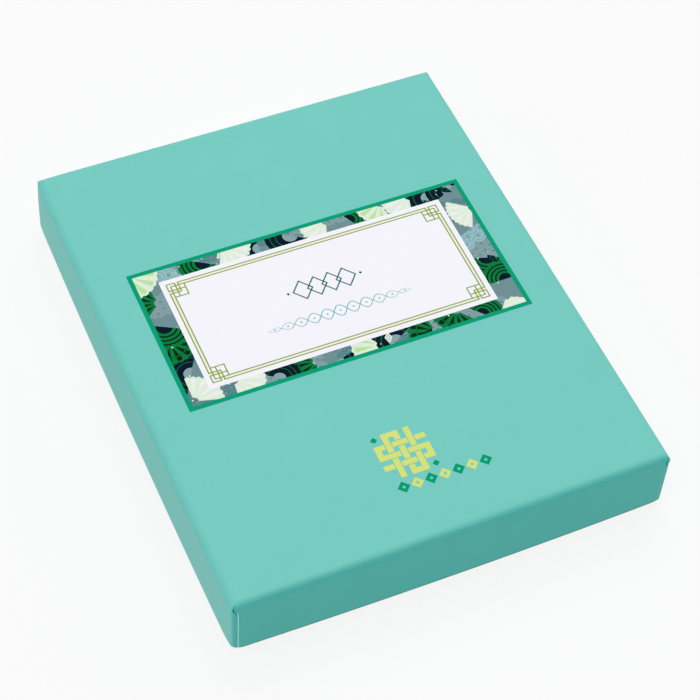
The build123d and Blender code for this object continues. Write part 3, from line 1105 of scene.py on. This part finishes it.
def label_shapes():
    rnd = random.Random(23)
    out = []
    # a quiet ground of scallops in two slates
    for x, y, n, rows, tint in ((-70, 49.5, 4, 3, "slate_light"), (-30, 49, 3, 3, "slate_dark"), (12, 49.5, 3, 3, "slate_light"),
                                (52, 49, 3, 3, "slate_dark"), (-66, -19.0, 3, 4, "slate_dark"), (-34, -18.5, 3, 4, "slate_light"),
                                (5, -19.0, 3, 4, "slate_dark"), (44, -18.5, 4, 4, "slate_light"), (-71, 34, 1, 6, "slate_light"),
                                (-71, 8, 1, 7, "slate_dark"), (72, 37, 1, 6, "slate_dark"), (72, 12, 1, 7, "slate_light")):
        out += waves(x, y, 0.0, 3.1, rows, tint, "slate", tuple(range(-(n // 2) - 1, n // 2 + 2)))
    # stations round the band
    spots = []
    for k in range(6):
        spots.append((-71.3 + rnd.uniform(-2.4, 2.4), -20.0 + 13.4 * k + rnd.uniform(-1.6, 1.6)))
    for k in range(10):
        spots.append((-58.0 + 13.4 * k + rnd.uniform(-1.8, 1.8), 46.2 + rnd.uniform(-1.8, 1.8)))
    for k in range(6):
        spots.append((72.1 + rnd.uniform(-2.4, 2.4), 45.0 - 13.4 * k + rnd.uniform(-1.6, 1.6)))
    for k in range(9):
        spots.append((57.5 - 13.6 * k + rnd.uniform(-1.8, 1.8), -22.4 + rnd.uniform(-1.8, 1.8)))
    kinds = ["arch_g", "fan_c", "arch_n", "fan_d", "arch_g", "fan_p", "arch_n", "fan_c", "wave_t", "arch_g", "fan_d",
             "fan_c", "arch_n"]
    order = []
    while len(order) < len(spots):
        batch = kinds[:]
        rnd.shuffle(batch)
        order += batch
    top = []
    for (x, y), kind in zip(spots, order):
        a = rnd.uniform(0, 2 * math.pi)
        ux, uy = math.cos(a), math.sin(a)
        if kind == "arch_g":
            out += arches(x, y, a, rnd.uniform(9.0, 12.0), "emerald", "rib_dark", (0.84, 0.66, 0.48), "navy")
        elif kind == "arch_n":
            out += arches(x, y, a, rnd.uniform(9.0, 12.0), "navy", "green", (0.82, 0.60), "slate_light")
        elif kind == "fan_c":
            top += fan(x - 5 * ux, y - 5 * uy, rnd.uniform(10.5, 13.5), a - 0.9, 1.8, 9, "mint", "cream", None)
        elif kind == "fan_p":
            top += fan(x - 5 * ux, y - 5 * uy, rnd.uniform(10.0, 13.0), a - 0.9, 1.8, 7, "mint", "pale_green", None)
        elif kind == "fan_d":
            out += fan(x - 4 * ux, y - 4 * uy, rnd.uniform(10.0, 13.0), a - 1.1, 2.2, 9, "emerald", "rib_dark", "green")
        elif kind == "wave_t":
            out += waves(x, y, a, rnd.uniform(3.4, 4.2), 3, "aqua", "slate_light")
    for _ in range(7):
        x, y = rnd.choice(spots)
        x, y = x + rnd.uniform(-6, 6), y + rnd.uniform(-3, 3)
        out += lozenge(x, y, rnd.uniform(2.6, 3.6), rnd.uniform(1.5, 2.0), rnd.uniform(0, 3.1),
                       rnd.choice(["navy", "rib_dark", "mint"]), rnd.choice(["emerald", "slate_light"]))
    for _ in range(30):
        x, y = rnd.choice(spots)
        out.append(("mint", disc(x + rnd.uniform(-6, 6), y + rnd.uniform(-3, 3), rnd.uniform(0.2, 0.42), 10)))
    out += top
    b = BORDER
    out.append(("border", [(LX0 - 30, LY0 - 30), (LX1 + 30, LY0 - 30), (LX1 + 30, LY0 + b), (LX0 - 30, LY0 + b)]))
    out.append(("border", [(LX0 - 30, LY1 - b), (LX1 + 30, LY1 - b), (LX1 + 30, LY1 + 30), (LX0 - 30, LY1 + 30)]))
    out.append(("border", [(LX0 - 30, LY0 - 30), (LX0 + b, LY0 - 30), (LX0 + b, LY1 + 30), (LX0 - 30, LY1 + 30)]))
    out.append(("border", [(LX1 - b, LY0 - 30), (LX1 + 30, LY0 - 30), (LX1 + 30, LY1 + 30), (LX1 - b, LY1 + 30)]))
    # a fine lighter line inside the green border
    out.append(("panel", rect(PX0, PY0, PX1, PY1)))
    out += frame_shapes()
    out += centre_shapes()
    return out


def frame_shapes():
    """The double-line frame with a square fret at each corner. q are the fret's
    line positions, counted inward from the outer line."""
    w = 0.54
    q = (0.0, 1.47, 3.67, 5.11, 7.49)
    out, fill = [], []
    for mx in (0, 1):
        for my in (0, 1):
            def at(u, v, mx=mx, my=my):
                return (FX1 - u if mx else FX0 + u, FY1 - v if my else FY0 + v)

            for transposed in (0, 1):
                def seg(k, a, b, tint="line", width=w):
                    """A line at offset k from the frame, from a to b along it."""
                    (x0, y0), (x1, y1) = (at(a, k), at(b, k)) if not transposed else (at(k, a), at(k, b))
                    return (tint, bar(x0, y0, x1, y1, width))

                out.append(seg(q[0], q[0], q[2]))
                out.append(seg(q[2], q[0], q[4]))
                out.append(seg(q[3], q[0], q[3]))
                out.append(seg(q[4], q[1], q[4]))
                # pale ink between the paired lines
                half_run = ((FX1 - FX0) if not transposed else (FY1 - FY0)) / 2 + 0.1
                fill.append(seg((q[0] + q[1]) / 2, q[3], half_run, "lime_pale", q[1] - q[0]))
                fill.append(seg((q[2] + q[3]) / 2, q[0] + 0.4, q[3] - 0.5, "lime_pale", q[3] - q[2]))
                out.append(seg(q[0], q[3], half_run))
                out.append(seg(q[1], q[1], half_run))
    return fill + out


def centre_shapes():
    out = []
    # in the middle of the panel: a chain of interlaced diamonds
    cx, cy, h = 0.19, 16.45, 5.1
    for k in range(4):
        x = cx + (k - 1.5) * 6.6
        out += [("deep_teal", s) for s in outline_of([(x - 4.4, cy), (x, cy + h), (x + 4.4, cy), (x, cy - h)], 0.58)]
    for sx in (-1, 1):
        out.append(("deep_teal", disc(cx + sx * 16.6, cy, 0.75, 4)))
    # below it: two thin waves that twist round each other
    n = 240
    for sign in (1, -1):
        p = []
        for i in range(n + 1):
            u = i / n
            x = -32.0 + 65.6 * u
            swell = math.sin(math.pi * u) ** 0.55
            p.append((x, 0.5 + sign * swell * 2.9 * math.sin(2 * math.pi * 5.5 * u)))
        out.append(("soft_teal", stroke(p, 0.42, 0.75)))
    for k in range(11):
        u = (k + 0.5) / 11
        out.append(("soft_teal", disc(-32.0 + 65.6 * u, 0.5, 0.42, 12)))
    return out


def emblem_shapes():
    """Near the front edge: a square lattice knot, and a row of diamonds under
    it."""
    out = []
    x0, x1, y0, y1 = -15.2, 7.1, -87.1, -64.8
    cx, cy = (x0 + x1) / 2, (y0 + y1) / 2
    w = 2.5
    # three bands each way, joined at their ends in pairs: the traditional
    # endless knot, set square
    step = (x1 - x0 - w) / 4
    xs = [x0 + w / 2 + step * k for k in range(5)]
    ys = [y0 + w / 2 + step * k for k in range(5)]
    lime, gap = "lime", None
    for k in (1, 2, 3):
        out.append((lime, bar(xs[k], ys[0], xs[k], ys[4], w)))
        out.append((lime, bar(xs[0], ys[k], xs[4], ys[k], w)))
    out.append((lime, bar(xs[1], ys[4], xs[2], ys[4], w)))
    out.append((lime, bar(xs[2], ys[0], xs[3], ys[0], w)))
    out.append((lime, bar(xs[0], ys[2], xs[0], ys[3], w)))
    out.append((lime, bar(xs[4], ys[1], xs[4], ys[2], w)))
    # narrow breaks where one band passes under another
    for i in (1, 2, 3):
        for j in (1, 2, 3):
            if (i + j) % 2 == 0:
                for s in (-1, 1):
                    out.append((gap, bar(xs[i] + s * (w / 2 + 0.22), ys[j] - w / 2 + 0.1, xs[i] + s * (w / 2 + 0.22),
                                         ys[j] + w / 2 - 0.1, 0.42)))
            else:
                for s in (-1, 1):
                    out.append((gap, bar(xs[i] - w / 2 + 0.1, ys[j] + s * (w / 2 + 0.22), xs[i] + w / 2 - 0.1,
                                         ys[j] + s * (w / 2 + 0.22), 0.42)))
    # emerald squares in the two open corners of the lattice
    for x, y in ((xs[0] + 0.4, ys[4] - 0.4), (xs[4] - 0.4, ys[0] + 0.4)):
        out.append(("emerald_flat", [(x - 1.5, y), (x, y + 1.5), (x + 1.5, y), (x, y - 1.5)]))
    # row of diamonds
    n = 7
    for k in range(n):
        x = -14.4 + 3.05 + (42.0 - 6.1) * k / (n - 1)
        y = -91.4
        tint = "lime" if k in (1, 3, 5) else "emerald_flat"
        a, b = (2.75, 2.75)
        out.append((tint, [(x - a, y), (x, y + b), (x + a, y), (x, y - b)]))
        out.append((gap, [(x - a * 0.32, y), (x, y + b * 0.32), (x + a * 0.32, y), (x, y - b * 0.32)]))
    return out


INKS = {
    "border": ink("ink_emerald_border", (0.0035, 0.325, 0.168)),
    "panel": ink("ink_panel_white", (0.895, 0.88, 0.94)),
    "slate": ink("ink_slate", (0.160, 0.265, 0.285)),
    "slate_light": ink("ink_slate_light", (0.235, 0.360, 0.375)),
    "slate_dark": ink("ink_slate_dark", (0.112, 0.205, 0.225)),
    "emerald": ink("ink_green", (0.0030, 0.185, 0.080)),
    "green": ink("ink_green_dark", (0.0030, 0.150, 0.062)),
    "green_dark": ink("ink_rib", (0.0020, 0.055, 0.030)),
    "rib_dark": ink("ink_rib_dark", (0.0020, 0.040, 0.022)),
    "navy": ink("ink_navy", (0.0035, 0.020, 0.048)),
    "cream": ink("ink_cream", (0.80, 0.86, 0.79)),
    "mint": ink("ink_mint", (0.72, 0.82, 0.69)),
    "mint_dim": ink("ink_mint_dim", (0.40, 0.56, 0.50)),
    "pale_green": ink("ink_pale_green", (0.47, 0.76, 0.33)),
    "aqua": ink("ink_aqua", (0.27, 0.52, 0.56)),
    "line": ink("ink_olive_line", (0.230, 0.330, 0.012)),
    "lime_pale": ink("ink_pale_lime", (0.84, 0.86, 0.76)),
    "deep_teal": ink("ink_deep_teal", (0.003, 0.115, 0.125)),
    "soft_teal": ink("ink_soft_teal", (0.07, 0.45, 0.45)),
}
EMBLEM_INKS = {
    "lime": ink("ink_lime", (0.66, 0.735, 0.185)),
    "emerald_flat": ink("ink_emerald", (0.0030, 0.31, 0.150)),
}


def print_height(x, y):
    return BOX_H + top_wave(x, y) + 0.03


print_piece("lid_label_print", ("slate", rect(LX0, LY0, LX1, LY1)), label_shapes(), INKS, print_height, 0.07, "lid")
print_piece("lid_emblem_print", None, emblem_shapes(), EMBLEM_INKS, print_height, 0.07, "lid")


# ------------------------------------------------------------------ folio
X_COVER, X_FORE, HY_F = -81.95, 86.0, 109.0
HINGE_X, HINGE1_Z, HINGE2_Z = -85.55, 13.15, 27.65
SKIN = 0.9


def table_curve(points):
    xs, ys = zip(*points)

    def f(x):
        return float(np.interp(x, xs, ys))
    return f


def eased(points, fine=0.15):
    """A smoothed piecewise curve: linear table, then a running mean."""
    xs, ys = np.array([p[0] for p in points], float), np.array([p[1] for p in points], float)
    s = np.arange(xs[0], xs[-1] + fine, fine)
    v = np.interp(s, xs, ys)
    k = 5
    pad = np.concatenate([np.full(k, v[0]), v, np.full(k, v[-1])])
    v2 = np.convolve(pad, np.ones(2 * k + 1) / (2 * k + 1), "valid")
    v2[0] = ys[0]

    def f(x):
        return float(np.interp(x, s, v2))
    return f


FREE = eased([(0, 2.7), (0.25, 3.5), (0.8, 4.35), (1.6, 4.95), (2.6, 5.2), (3.5, 5.15), (4.1, 4.75), (4.5, 4.45),
              (4.9, 4.75), (5.6, 5.3), (7.5, 5.85), (11, 6.3), (16, 6.6), (24, 6.85), (36, 7.0), (46, 7.05), (90, 7.05)])
SIDE = eased([(0, 6.5), (2.0, 6.45), (3.3, 6.1), (4.0, 5.3), (4.4, 4.9), (4.8, 5.3), (5.6, 5.8), (7.5, 6.15),
              (11, 6.45), (16, 6.65), (24, 6.87), (36, 7.0), (46, 7.05), (90, 7.05)])


def cover_ring(d, r, n_side=56, n_y=72, n_a=10):
    """The cover's plan outline, inset by d on every side: square at the spine
    side, rounded by r at the two free corners. Equal point counts for all d."""
    x0, x1, hy = X_COVER + d, X_FORE - d, HY_F - d
    r = max(r - d, 0.35)
    r0 = 0.25
    pts = []

    def run(a, b, n):
        for i in range(n):
            pts.append((a[0] + (b[0] - a[0]) * i / n, a[1] + (b[1] - a[1]) * i / n))

    def arc(cx, cy, rr, a0, n):
        for i in range(n):
            a = a0 + math.pi / 2 * i / n
            pts.append((cx + rr * math.cos(a), cy + rr * math.sin(a)))

    run((x0 + r0, -hy), (x1 - r, -hy), n_side)
    arc(x1 - r, -hy + r, r, -math.pi / 2, n_a)
    run((x1, -hy + r), (x1, hy - r), n_y)
    arc(x1 - r, hy - r, r, 0.0, n_a)
    run((x1 - r, hy), (x0 + r0, hy), n_side)
    arc(x0 + r0, hy - r0, r0, math.pi / 2, 3)
    run((x0, hy - r0), (x0, -hy + r0), n_y)
    arc(x0 + r0, -hy + r0, r0, math.pi, 3)
    return pts


def free_distance(x, y, r=7.0):
    """Distance inward from the three free sides."""
    dx, dy = X_FORE - x, HY_F - abs(y)
    if dx < r and dy < r:
        return r - math.hypot(r - dx, r - dy)
    return min(dx, dy)


def cover_height(x, y, puff=1.0):
    """Height of the padded leather above the cover's inner face."""
    d, h = free_distance(x, y), x - X_COVER
    top = 7.05
    a, b = top - FREE(max(d, 0.0)), top - SIDE(max(h, 0.0))
    # near the spine the free edge rises to the leather that crosses the fold
    near = math.exp(-(h / 4.0) ** 2)
    a = a * (1 - near) + near * (top - (6.5 - 0.45 * math.exp(-max(d, 0) / 0.5)))
    t = top - (a ** 5 + b ** 5) ** 0.2
    inner = min(1.0, max(0.0, (min(d, h) - 6.0) / 30.0))
    t += (puff - 1.0) * 0.5 * smooth_step(inner, 0.0, 1.0)
    lump = 0.045 * math.sin(x / 21.0 + 0.7) * math.sin(y / 26.0) + 0.03 * math.sin(x / 9.0 + y / 12.0)
    return t + lump * smooth_step(min(d, h), 5.0, 18.0)


INSETS = (0.0, 0.06, 0.2, 0.42, 0.75, 1.2, 1.8, 2.5, 3.1, 3.5, 3.8, 4.05, 4.25, 4.45, 4.65, 4.85, 5.1, 5.5, 6.1, 7.0,
          8.5, 10.5, 13.0, 16.5, 21.0, 26.5, 33.0, 40.0, 48.0)


def cover_skin_rings(puff):
    """Rings of (x, y, t): the seen leather from the inner margin round the edge
    and over the pad, then its back."""
    rings = []
    margin = 0.32

    def flat(d, t):
        rings.append([(x, y, t) for x, y in cover_ring(d, 7.0)])

    flat(4.0, margin)
    flat(3.0, margin)
    flat(1.6, margin)
    for i in range(6):
        a = math.pi / 2 * i / 5
        flat(1.1 * (1 - math.sin(a)), margin + 1.1 * (1 - math.cos(a)))
    flat(0.0, 2.0)
    for d in INSETS:
        ring = []
        for x, y in cover_ring(d, 7.0):
            ring.append((x, y, max(cover_height(x, y, puff), 2.4)))
        rings.append(ring)
    # back of the leather, 0.9 mm in
    for d in reversed(INSETS):
        if d < 0.9 and d != 0.0:
            continue
        dd = max(d, SKIN)
        ring = []
        for x, y in cover_ring(dd, 7.0):
            ring.append((x, y, max(cover_height(x, y, puff) - SKIN, 2.75 if d else 2.7)))
        rings.append(ring)
    flat(SKIN, 2.0)
    flat(SKIN, margin + SKIN - 0.25)
    flat(4.0, margin + SKIN - 0.25)
    return rings


def to_z(which):
    if which == "back":
        return lambda t: 19.2 - t
    return lambda t: 21.6 + t


def lift(rings, z_of):
    return [np.array([(x, y, z_of(t)) for x, y, t in ring]) for ring in rings]


def stitches(name, path, z_of, height, body, slot, pitch=3.4, length=2.35, r=0.27, sink=0.35, closed=True):
    """Saddle stitches along a path of (x, y): each a short thread that rises
    out of the leather, arches and dives again."""
    p = np.array(path, float)
    if closed:
        p = np.vstack([p, p[:1]])
    seg = np.linalg.norm(np.diff(p, axis=0), axis=1)
    s = np.concatenate([[0], np.cumsum(seg)])
    count = int(s[-1] // pitch)
    step = s[-1] / count
    verts, faces = [], []
    rnd = random.Random(7)
    m, k = 7, 8
    for i in range(count):
        mid = (i + 0.5) * step
        lean = rnd.uniform(-0.07, 0.07)
        spine = []
        for j in range(m):
            u = j / (m - 1)
            q = mid + (u - 0.5) * length
            x, y = np.interp(q, s, p[:, 0]), np.interp(q, s, p[:, 1])
            x2, y2 = np.interp(q + 0.2, s, p[:, 0]), np.interp(q + 0.2, s, p[:, 1])
            x1, y1 = np.interp(q - 0.2, s, p[:, 0]), np.interp(q - 0.2, s, p[:, 1])
            dx, dy = x2 - x1, y2 - y1
            n = math.hypot(dx, dy) or 1.0
            nx, ny = -dy / n, dx / n
            off = lean * (u - 0.5) * 2
            up = -sink + (sink + r * 0.55) * math.sin(math.pi * u) ** 0.6
            spine.append((x + nx * off, y + ny * off, height(x, y) + up, nx, ny))
        base = len(verts)
        for j, (x, y, t, nx, ny) in enumerate(spine):
            rr = r * (0.55 if j in (0, m - 1) else 1.0) * (1 + 0.08 * math.sin(j * 2.4))
            for a in range(k):
                b = 2 * math.pi * a / k
                verts.append((x + nx * rr * math.cos(b), y + ny * rr * math.cos(b), z_of(t + rr * math.sin(b) * 0.85)))
        for j in range(m - 1):
            for a in range(k):
                q, q2 = base + j * k + a, base + j * k + (a + 1) % k
                faces.append((q, q2, q2 + k, q + k))
        faces.append(tuple(base + a for a in range(k)))
        faces.append(tuple(base + (m - 1) * k + a for a in range(k)))
    ob = to_object(name, verts, faces, [M_THREAD], sharp=60.0)
    return place(ob, body, slot)


def sweep_u(path, profile, z_of):
    """A profile of (n, t) pairs carried along an open path of (x, y)."""
    p = np.array(path, float)
    d = np.gradient(p, axis=0)
    d /= np.linalg.norm(d, axis=1)[:, None]
    side = np.stack([-d[:, 1], d[:, 0]], 1)
    verts, faces = [], []
    k = len(profile)
    for i in range(len(p)):
        for n, t in profile:
            verts.append((p[i, 0] + side[i, 0] * n, p[i, 1] + side[i, 1] * n, z_of(t)))
    for i in range(len(p) - 1):
        for a in range(k):
            q, q2 = i * k + a, i * k + (a + 1) % k
            faces.append((q, q2, q2 + k, q + k))
    faces.append(tuple(range(k)))
    faces.append(tuple((len(p) - 1) * k + a for a in range(k)))
    return verts, faces


def folio_cover(which):
    body = "folio_" + which
    z_of = to_z(which)
    puff = 2.2 if which == "front" else 0.6
    tag = "folio_" + which + "_"

    skin = cover_skin_rings(puff)
    verts, faces, _ = ring_mesh(lift(skin, z_of), loop=True)
    # the outer sheet's centre and its back are closed by their last rings
    rings = lift(skin, z_of)
    n = len(rings[0])
    outer_last = 3 + 6 + 1 + len(INSETS) - 1
    faces = [f for i, f in enumerate(faces) if i // n != outer_last]
    faces.append(tuple(outer_last * n + j for j in range(n)))
    faces.append(tuple((outer_last + 1) * n + j for j in range(n)))
    ob = to_object(tag + "cover_leather", verts, faces, [M_LEATHER], sharp=48.0)
    place(ob, body, "leatherette", [tag + "skin"])

    # foam: flat on the board, crowned under the leather
    rings = []
    for d, t in ((6.0, 2.62), (1.6, 2.62), (1.0, 2.66)):
        rings.append([(x, y, t) for x, y in cover_ring(d, 7.0)])
    for d in INSETS:
        if d < 1.2:
            continue
        rings.append([(x, y, max(cover_height(x, y, puff) - SKIN - 0.04, 2.8)) for x, y in cover_ring(d, 7.0)])
    verts, faces, _ = ring_mesh(lift(rings, z_of), cap0=True, cap1=True)
    ob = to_object(tag + "foam_pad", verts, faces, [M_FOAM], sharp=60.0)
    place(ob, body, "foam", [tag + "padding"])

    # board
    rings = []
    for d, t in ((4.0, 0.98), (1.3, 0.98), (1.02, 1.2), (1.02, 2.3), (1.2, 2.6), (4.0, 2.6)):
        rings.append([(x, y, t) for x, y in cover_ring(d, 7.0)])
    verts, faces, _ = ring_mesh(lift(rings, z_of), cap0=True, cap1=True)
    ob = to_object(tag + "greyboard", verts, faces, [M_BOARD], sharp=40.0)
    place(ob, body, "greyboard", [tag + "board"])

    # lining cloth, its edge turned under
    rings = []
    for d, t in ((3.3, 0.31), (3.08, 0.3), (2.98, 0.2), (2.98, 0.12), (3.1, 0.03), (3.5, 0.0), (6.0, 0.0)):
        rings.append([(x, y, t) for x, y in cover_ring(d, 7.0)])
    verts, faces, _ = ring_mesh(lift(rings, z_of), cap0=True, cap1=True)
    ob = to_object(tag + "lining_sheet", verts, faces, [M_LINING], sharp=40.0)
    place(ob, body, "lining_cloth", [tag + "lining"])

    # stitched pocket band, open towards the spine
    bx0, bx1, by = X_COVER + 6.0, X_FORE - 3.0, HY_F - 3.0
    half = 1.75
    r = 2.25
    path = []
    xs, xe, yc = bx0, bx1 - half, by - half
    for i in range(40):
        path.append((xs + (xe - r - xs) * i / 40, -yc))
    for i in range(10):
        a = -math.pi / 2 + math.pi / 2 * i / 10
        path.append((xe - r + r * math.cos(a), -yc + r + r * math.sin(a)))
    for i in range(50):
        path.append((xe, -yc + r + (2 * yc - 2 * r) * i / 50))
    for i in range(10):
        a = math.pi / 2 * i / 10
        path.append((xe - r + r * math.cos(a), yc - r + r * math.sin(a)))
    for i in range(41):
        path.append((xe - r + (xs - xe + r) * i / 40, yc))
    e = 0.28
    prof = []
    for cxx, czz, a0 in ((half - e, -0.9 + e, -90), (half - e, -e, 0), (-half + e, -e, 90), (-half + e, -0.9 + e, 180)):
        for i in range(4):
            a = math.radians(a0 + 30 * i)
            prof.append((cxx + e * math.cos(a), -(czz + e * math.sin(a)) - 0.9))
    prof = [(n_, -0.9 - t_ if False else t_) for n_, t_ in prof]
    # t is negative above the inner face, so the band stands 0.9 mm proud of it
    prof = [(n_, min(0.0, max(-0.9, t_))) for n_, t_ in prof]
    verts, faces = sweep_u(path, prof, z_of)
    ob = to_object(tag + "pocket_edging", verts, faces, [M_LEATHER], sharp=50.0)
    place(ob, body, "leatherette", [tag + "pocket_band"])
    stitches(tag + "pocket_stitches", path[1:-1], lambda t: z_of(-t), lambda x, y: 0.86, body, "leatherette",
             pitch=2.9, length=2.0, r=0.2, sink=0.3, closed=False)

    # perimeter stitching in the groove of the padded side
    line = cover_ring(4.45, 7.0)
    stitches(tag + "cover_stitches", line, z_of, lambda x, y: cover_height(x, y, puff), body, "leatherette")


def hinge_strip(name, z_axis, up):
    """The leather across one fold, and its lining side. up is +1 where the
    spine rises from this fold and -1 where it drops."""
    ax = HINGE_X
    half = 0.45
    prof = []
    # outer side: along the cover, round the fold, along the spine
    for x in (X_COVER, -82.6, -83.3, -84.0, -84.6, -85.1):
        prof.append((x, z_axis - up * half))
    for i in range(7):
        a = math.pi / 2 * i / 6
        prof.append((ax - half * math.sin(a), z_axis - up * half * math.cos(a)))
    for dz in (0.35, 0.7, 1.1, 1.5):
        prof.append((ax - half, z_axis + up * dz))
    outer = len(prof)
    # inner side, back again
    for dz in (1.5, 1.1, 0.8):
        prof.append((ax + half, z_axis + up * dz))
    for i in range(4):
        a = math.pi / 2 * (1 - i / 3)
        prof.append((ax + half + 0.3 - 0.3 * math.sin(a), z_axis + up * (half + 0.3 - 0.3 * math.cos(a))))
    for x in (-84.4, -84.0, -83.3, -82.6, X_COVER):
        prof.append((x, z_axis + up * half))
    k = len(prof)
    rows = 110
    verts, faces, fmat = [], [], []
    for j in range(rows + 1):
        y = -HY_F + 2 * HY_F * j / rows
        tuck = 0.25 * math.exp(-(HY_F - abs(y)) / 0.4)
        for i, (x, z) in enumerate(prof):
            ridge = 0.035 * math.sin(y * 1.9 + 0.8 * math.sin(y * 0.37)) * (1.0 if 3 <= i <= 11 else 0.0)
            cx = x - ax
            cz = z - z_axis
            k2 = 1 - tuck * 0.5 if abs(cz) > 0.3 or abs(cx) > 0.3 else 1.0
            zz = z_axis + (cz * k2 if i < outer - 4 or i >= outer + 3 else cz)
            verts.append((x - (ridge if x < ax - 0.2 else 0.0), y, zz - up * (ridge if x > ax - 0.2 and i < outer else 0.0)))
    for j in range(rows):
        for i in range(k):
            a, b = j * k + i, j * k + (i + 1) % k
            faces.append((a, b, b + k, a + k))
            fmat.append(1 if i >= outer - 1 and i < k - 1 else 0)
    faces.append(tuple(range(k)))
    faces.append(tuple(rows * k + i for i in range(k)))
    fmat += [0, 0]
    ob = to_object(name, verts, faces, [M_LEATHER, M_LINING], fmat, sharp=50.0)
    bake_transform(ob)
    return ob


def folio_spine():
    z0, z1 = HINGE1_Z + 1.5, HINGE2_Z - 1.5
    xo, xi = HINGE_X - 0.45, HINGE_X + 0.45
    prof = []
    for i in range(13):
        u = i / 12
        prof.append((xo - 0.22 * math.sin(math.pi * u) ** 0.7, z0 + (z1 - z0) * u))
    prof += [(xi, z1), (xi, (z0 + z1) / 2), (xi, z0)]
    k, rows = len(prof), 110
    verts, faces = [], []
    for j in range(rows + 1):
        y = -HY_F + 2 * HY_F * j / rows
        for i, (x, z) in enumerate(prof):
            wav = 0.03 * math.sin(y / 9.0) * (1 if 0 < i < 12 else 0)
            verts.append((x + wav, y, z))
    for j in range(rows):
        for i in range(k):
            a, b = j * k + i, j * k + (i + 1) % k
            faces.append((a, b, b + k, a + k))
    faces.append(tuple(range(k)))
    faces.append(tuple(rows * k + i for i in range(k)))
    ob = to_object("folio_spine_leather", verts, faces, [M_LEATHER], sharp=50.0)
    place(ob, "folio_spine", "leatherette", ["folio_spine_skin"])


folio_cover("back")
folio_cover("front")
folio_spine()
hinge_strip("folio_back_fold", HINGE1_Z, 1)
hinge_strip("folio_front_fold", HINGE2_Z, -1)

# ------------------------------------------------------ finishes of the CAD nodes
FINISH = {
    "lid_liner": M_WHITE,
    "tray_board": M_BOARD, "tray_corner_stays": M_KRAFT, "tray_floor_liner": M_WHITE,
    "tray_bottom_sheet": M_WRAP, "riser_platform": M_RISER,
    "folio_back_pocket_sheet": M_CLEAR, "folio_front_pocket_sheet": M_CLEAR,
    "folio_spine_board": M_BOARD, "folio_spine_lining": M_LINING,
}
for name, mat in FINISH.items():
    me = nodes[name].data
    me.materials.clear()
    me.materials.append(mat)
    me.polygons.foreach_set("material_index", np.zeros(len(me.polygons), np.int32))


# ------------------------------------------------------------------ floor
def make_floor():
    verts, faces = [], []
    n = 24
    for j in range(n + 1):
        for i in range(n + 1):
            verts.append((-8000 + 16000 * i / n, -8000 + 16000 * j / n, -0.02))
    for j in range(n):
        for i in range(n):
            a = j * (n + 1) + i
            faces.append((a, a + 1, a + n + 2, a + n + 1))
    ob = to_object("floor", verts, faces, [floor_material()], recalc=False, merge=0)


make_floor()
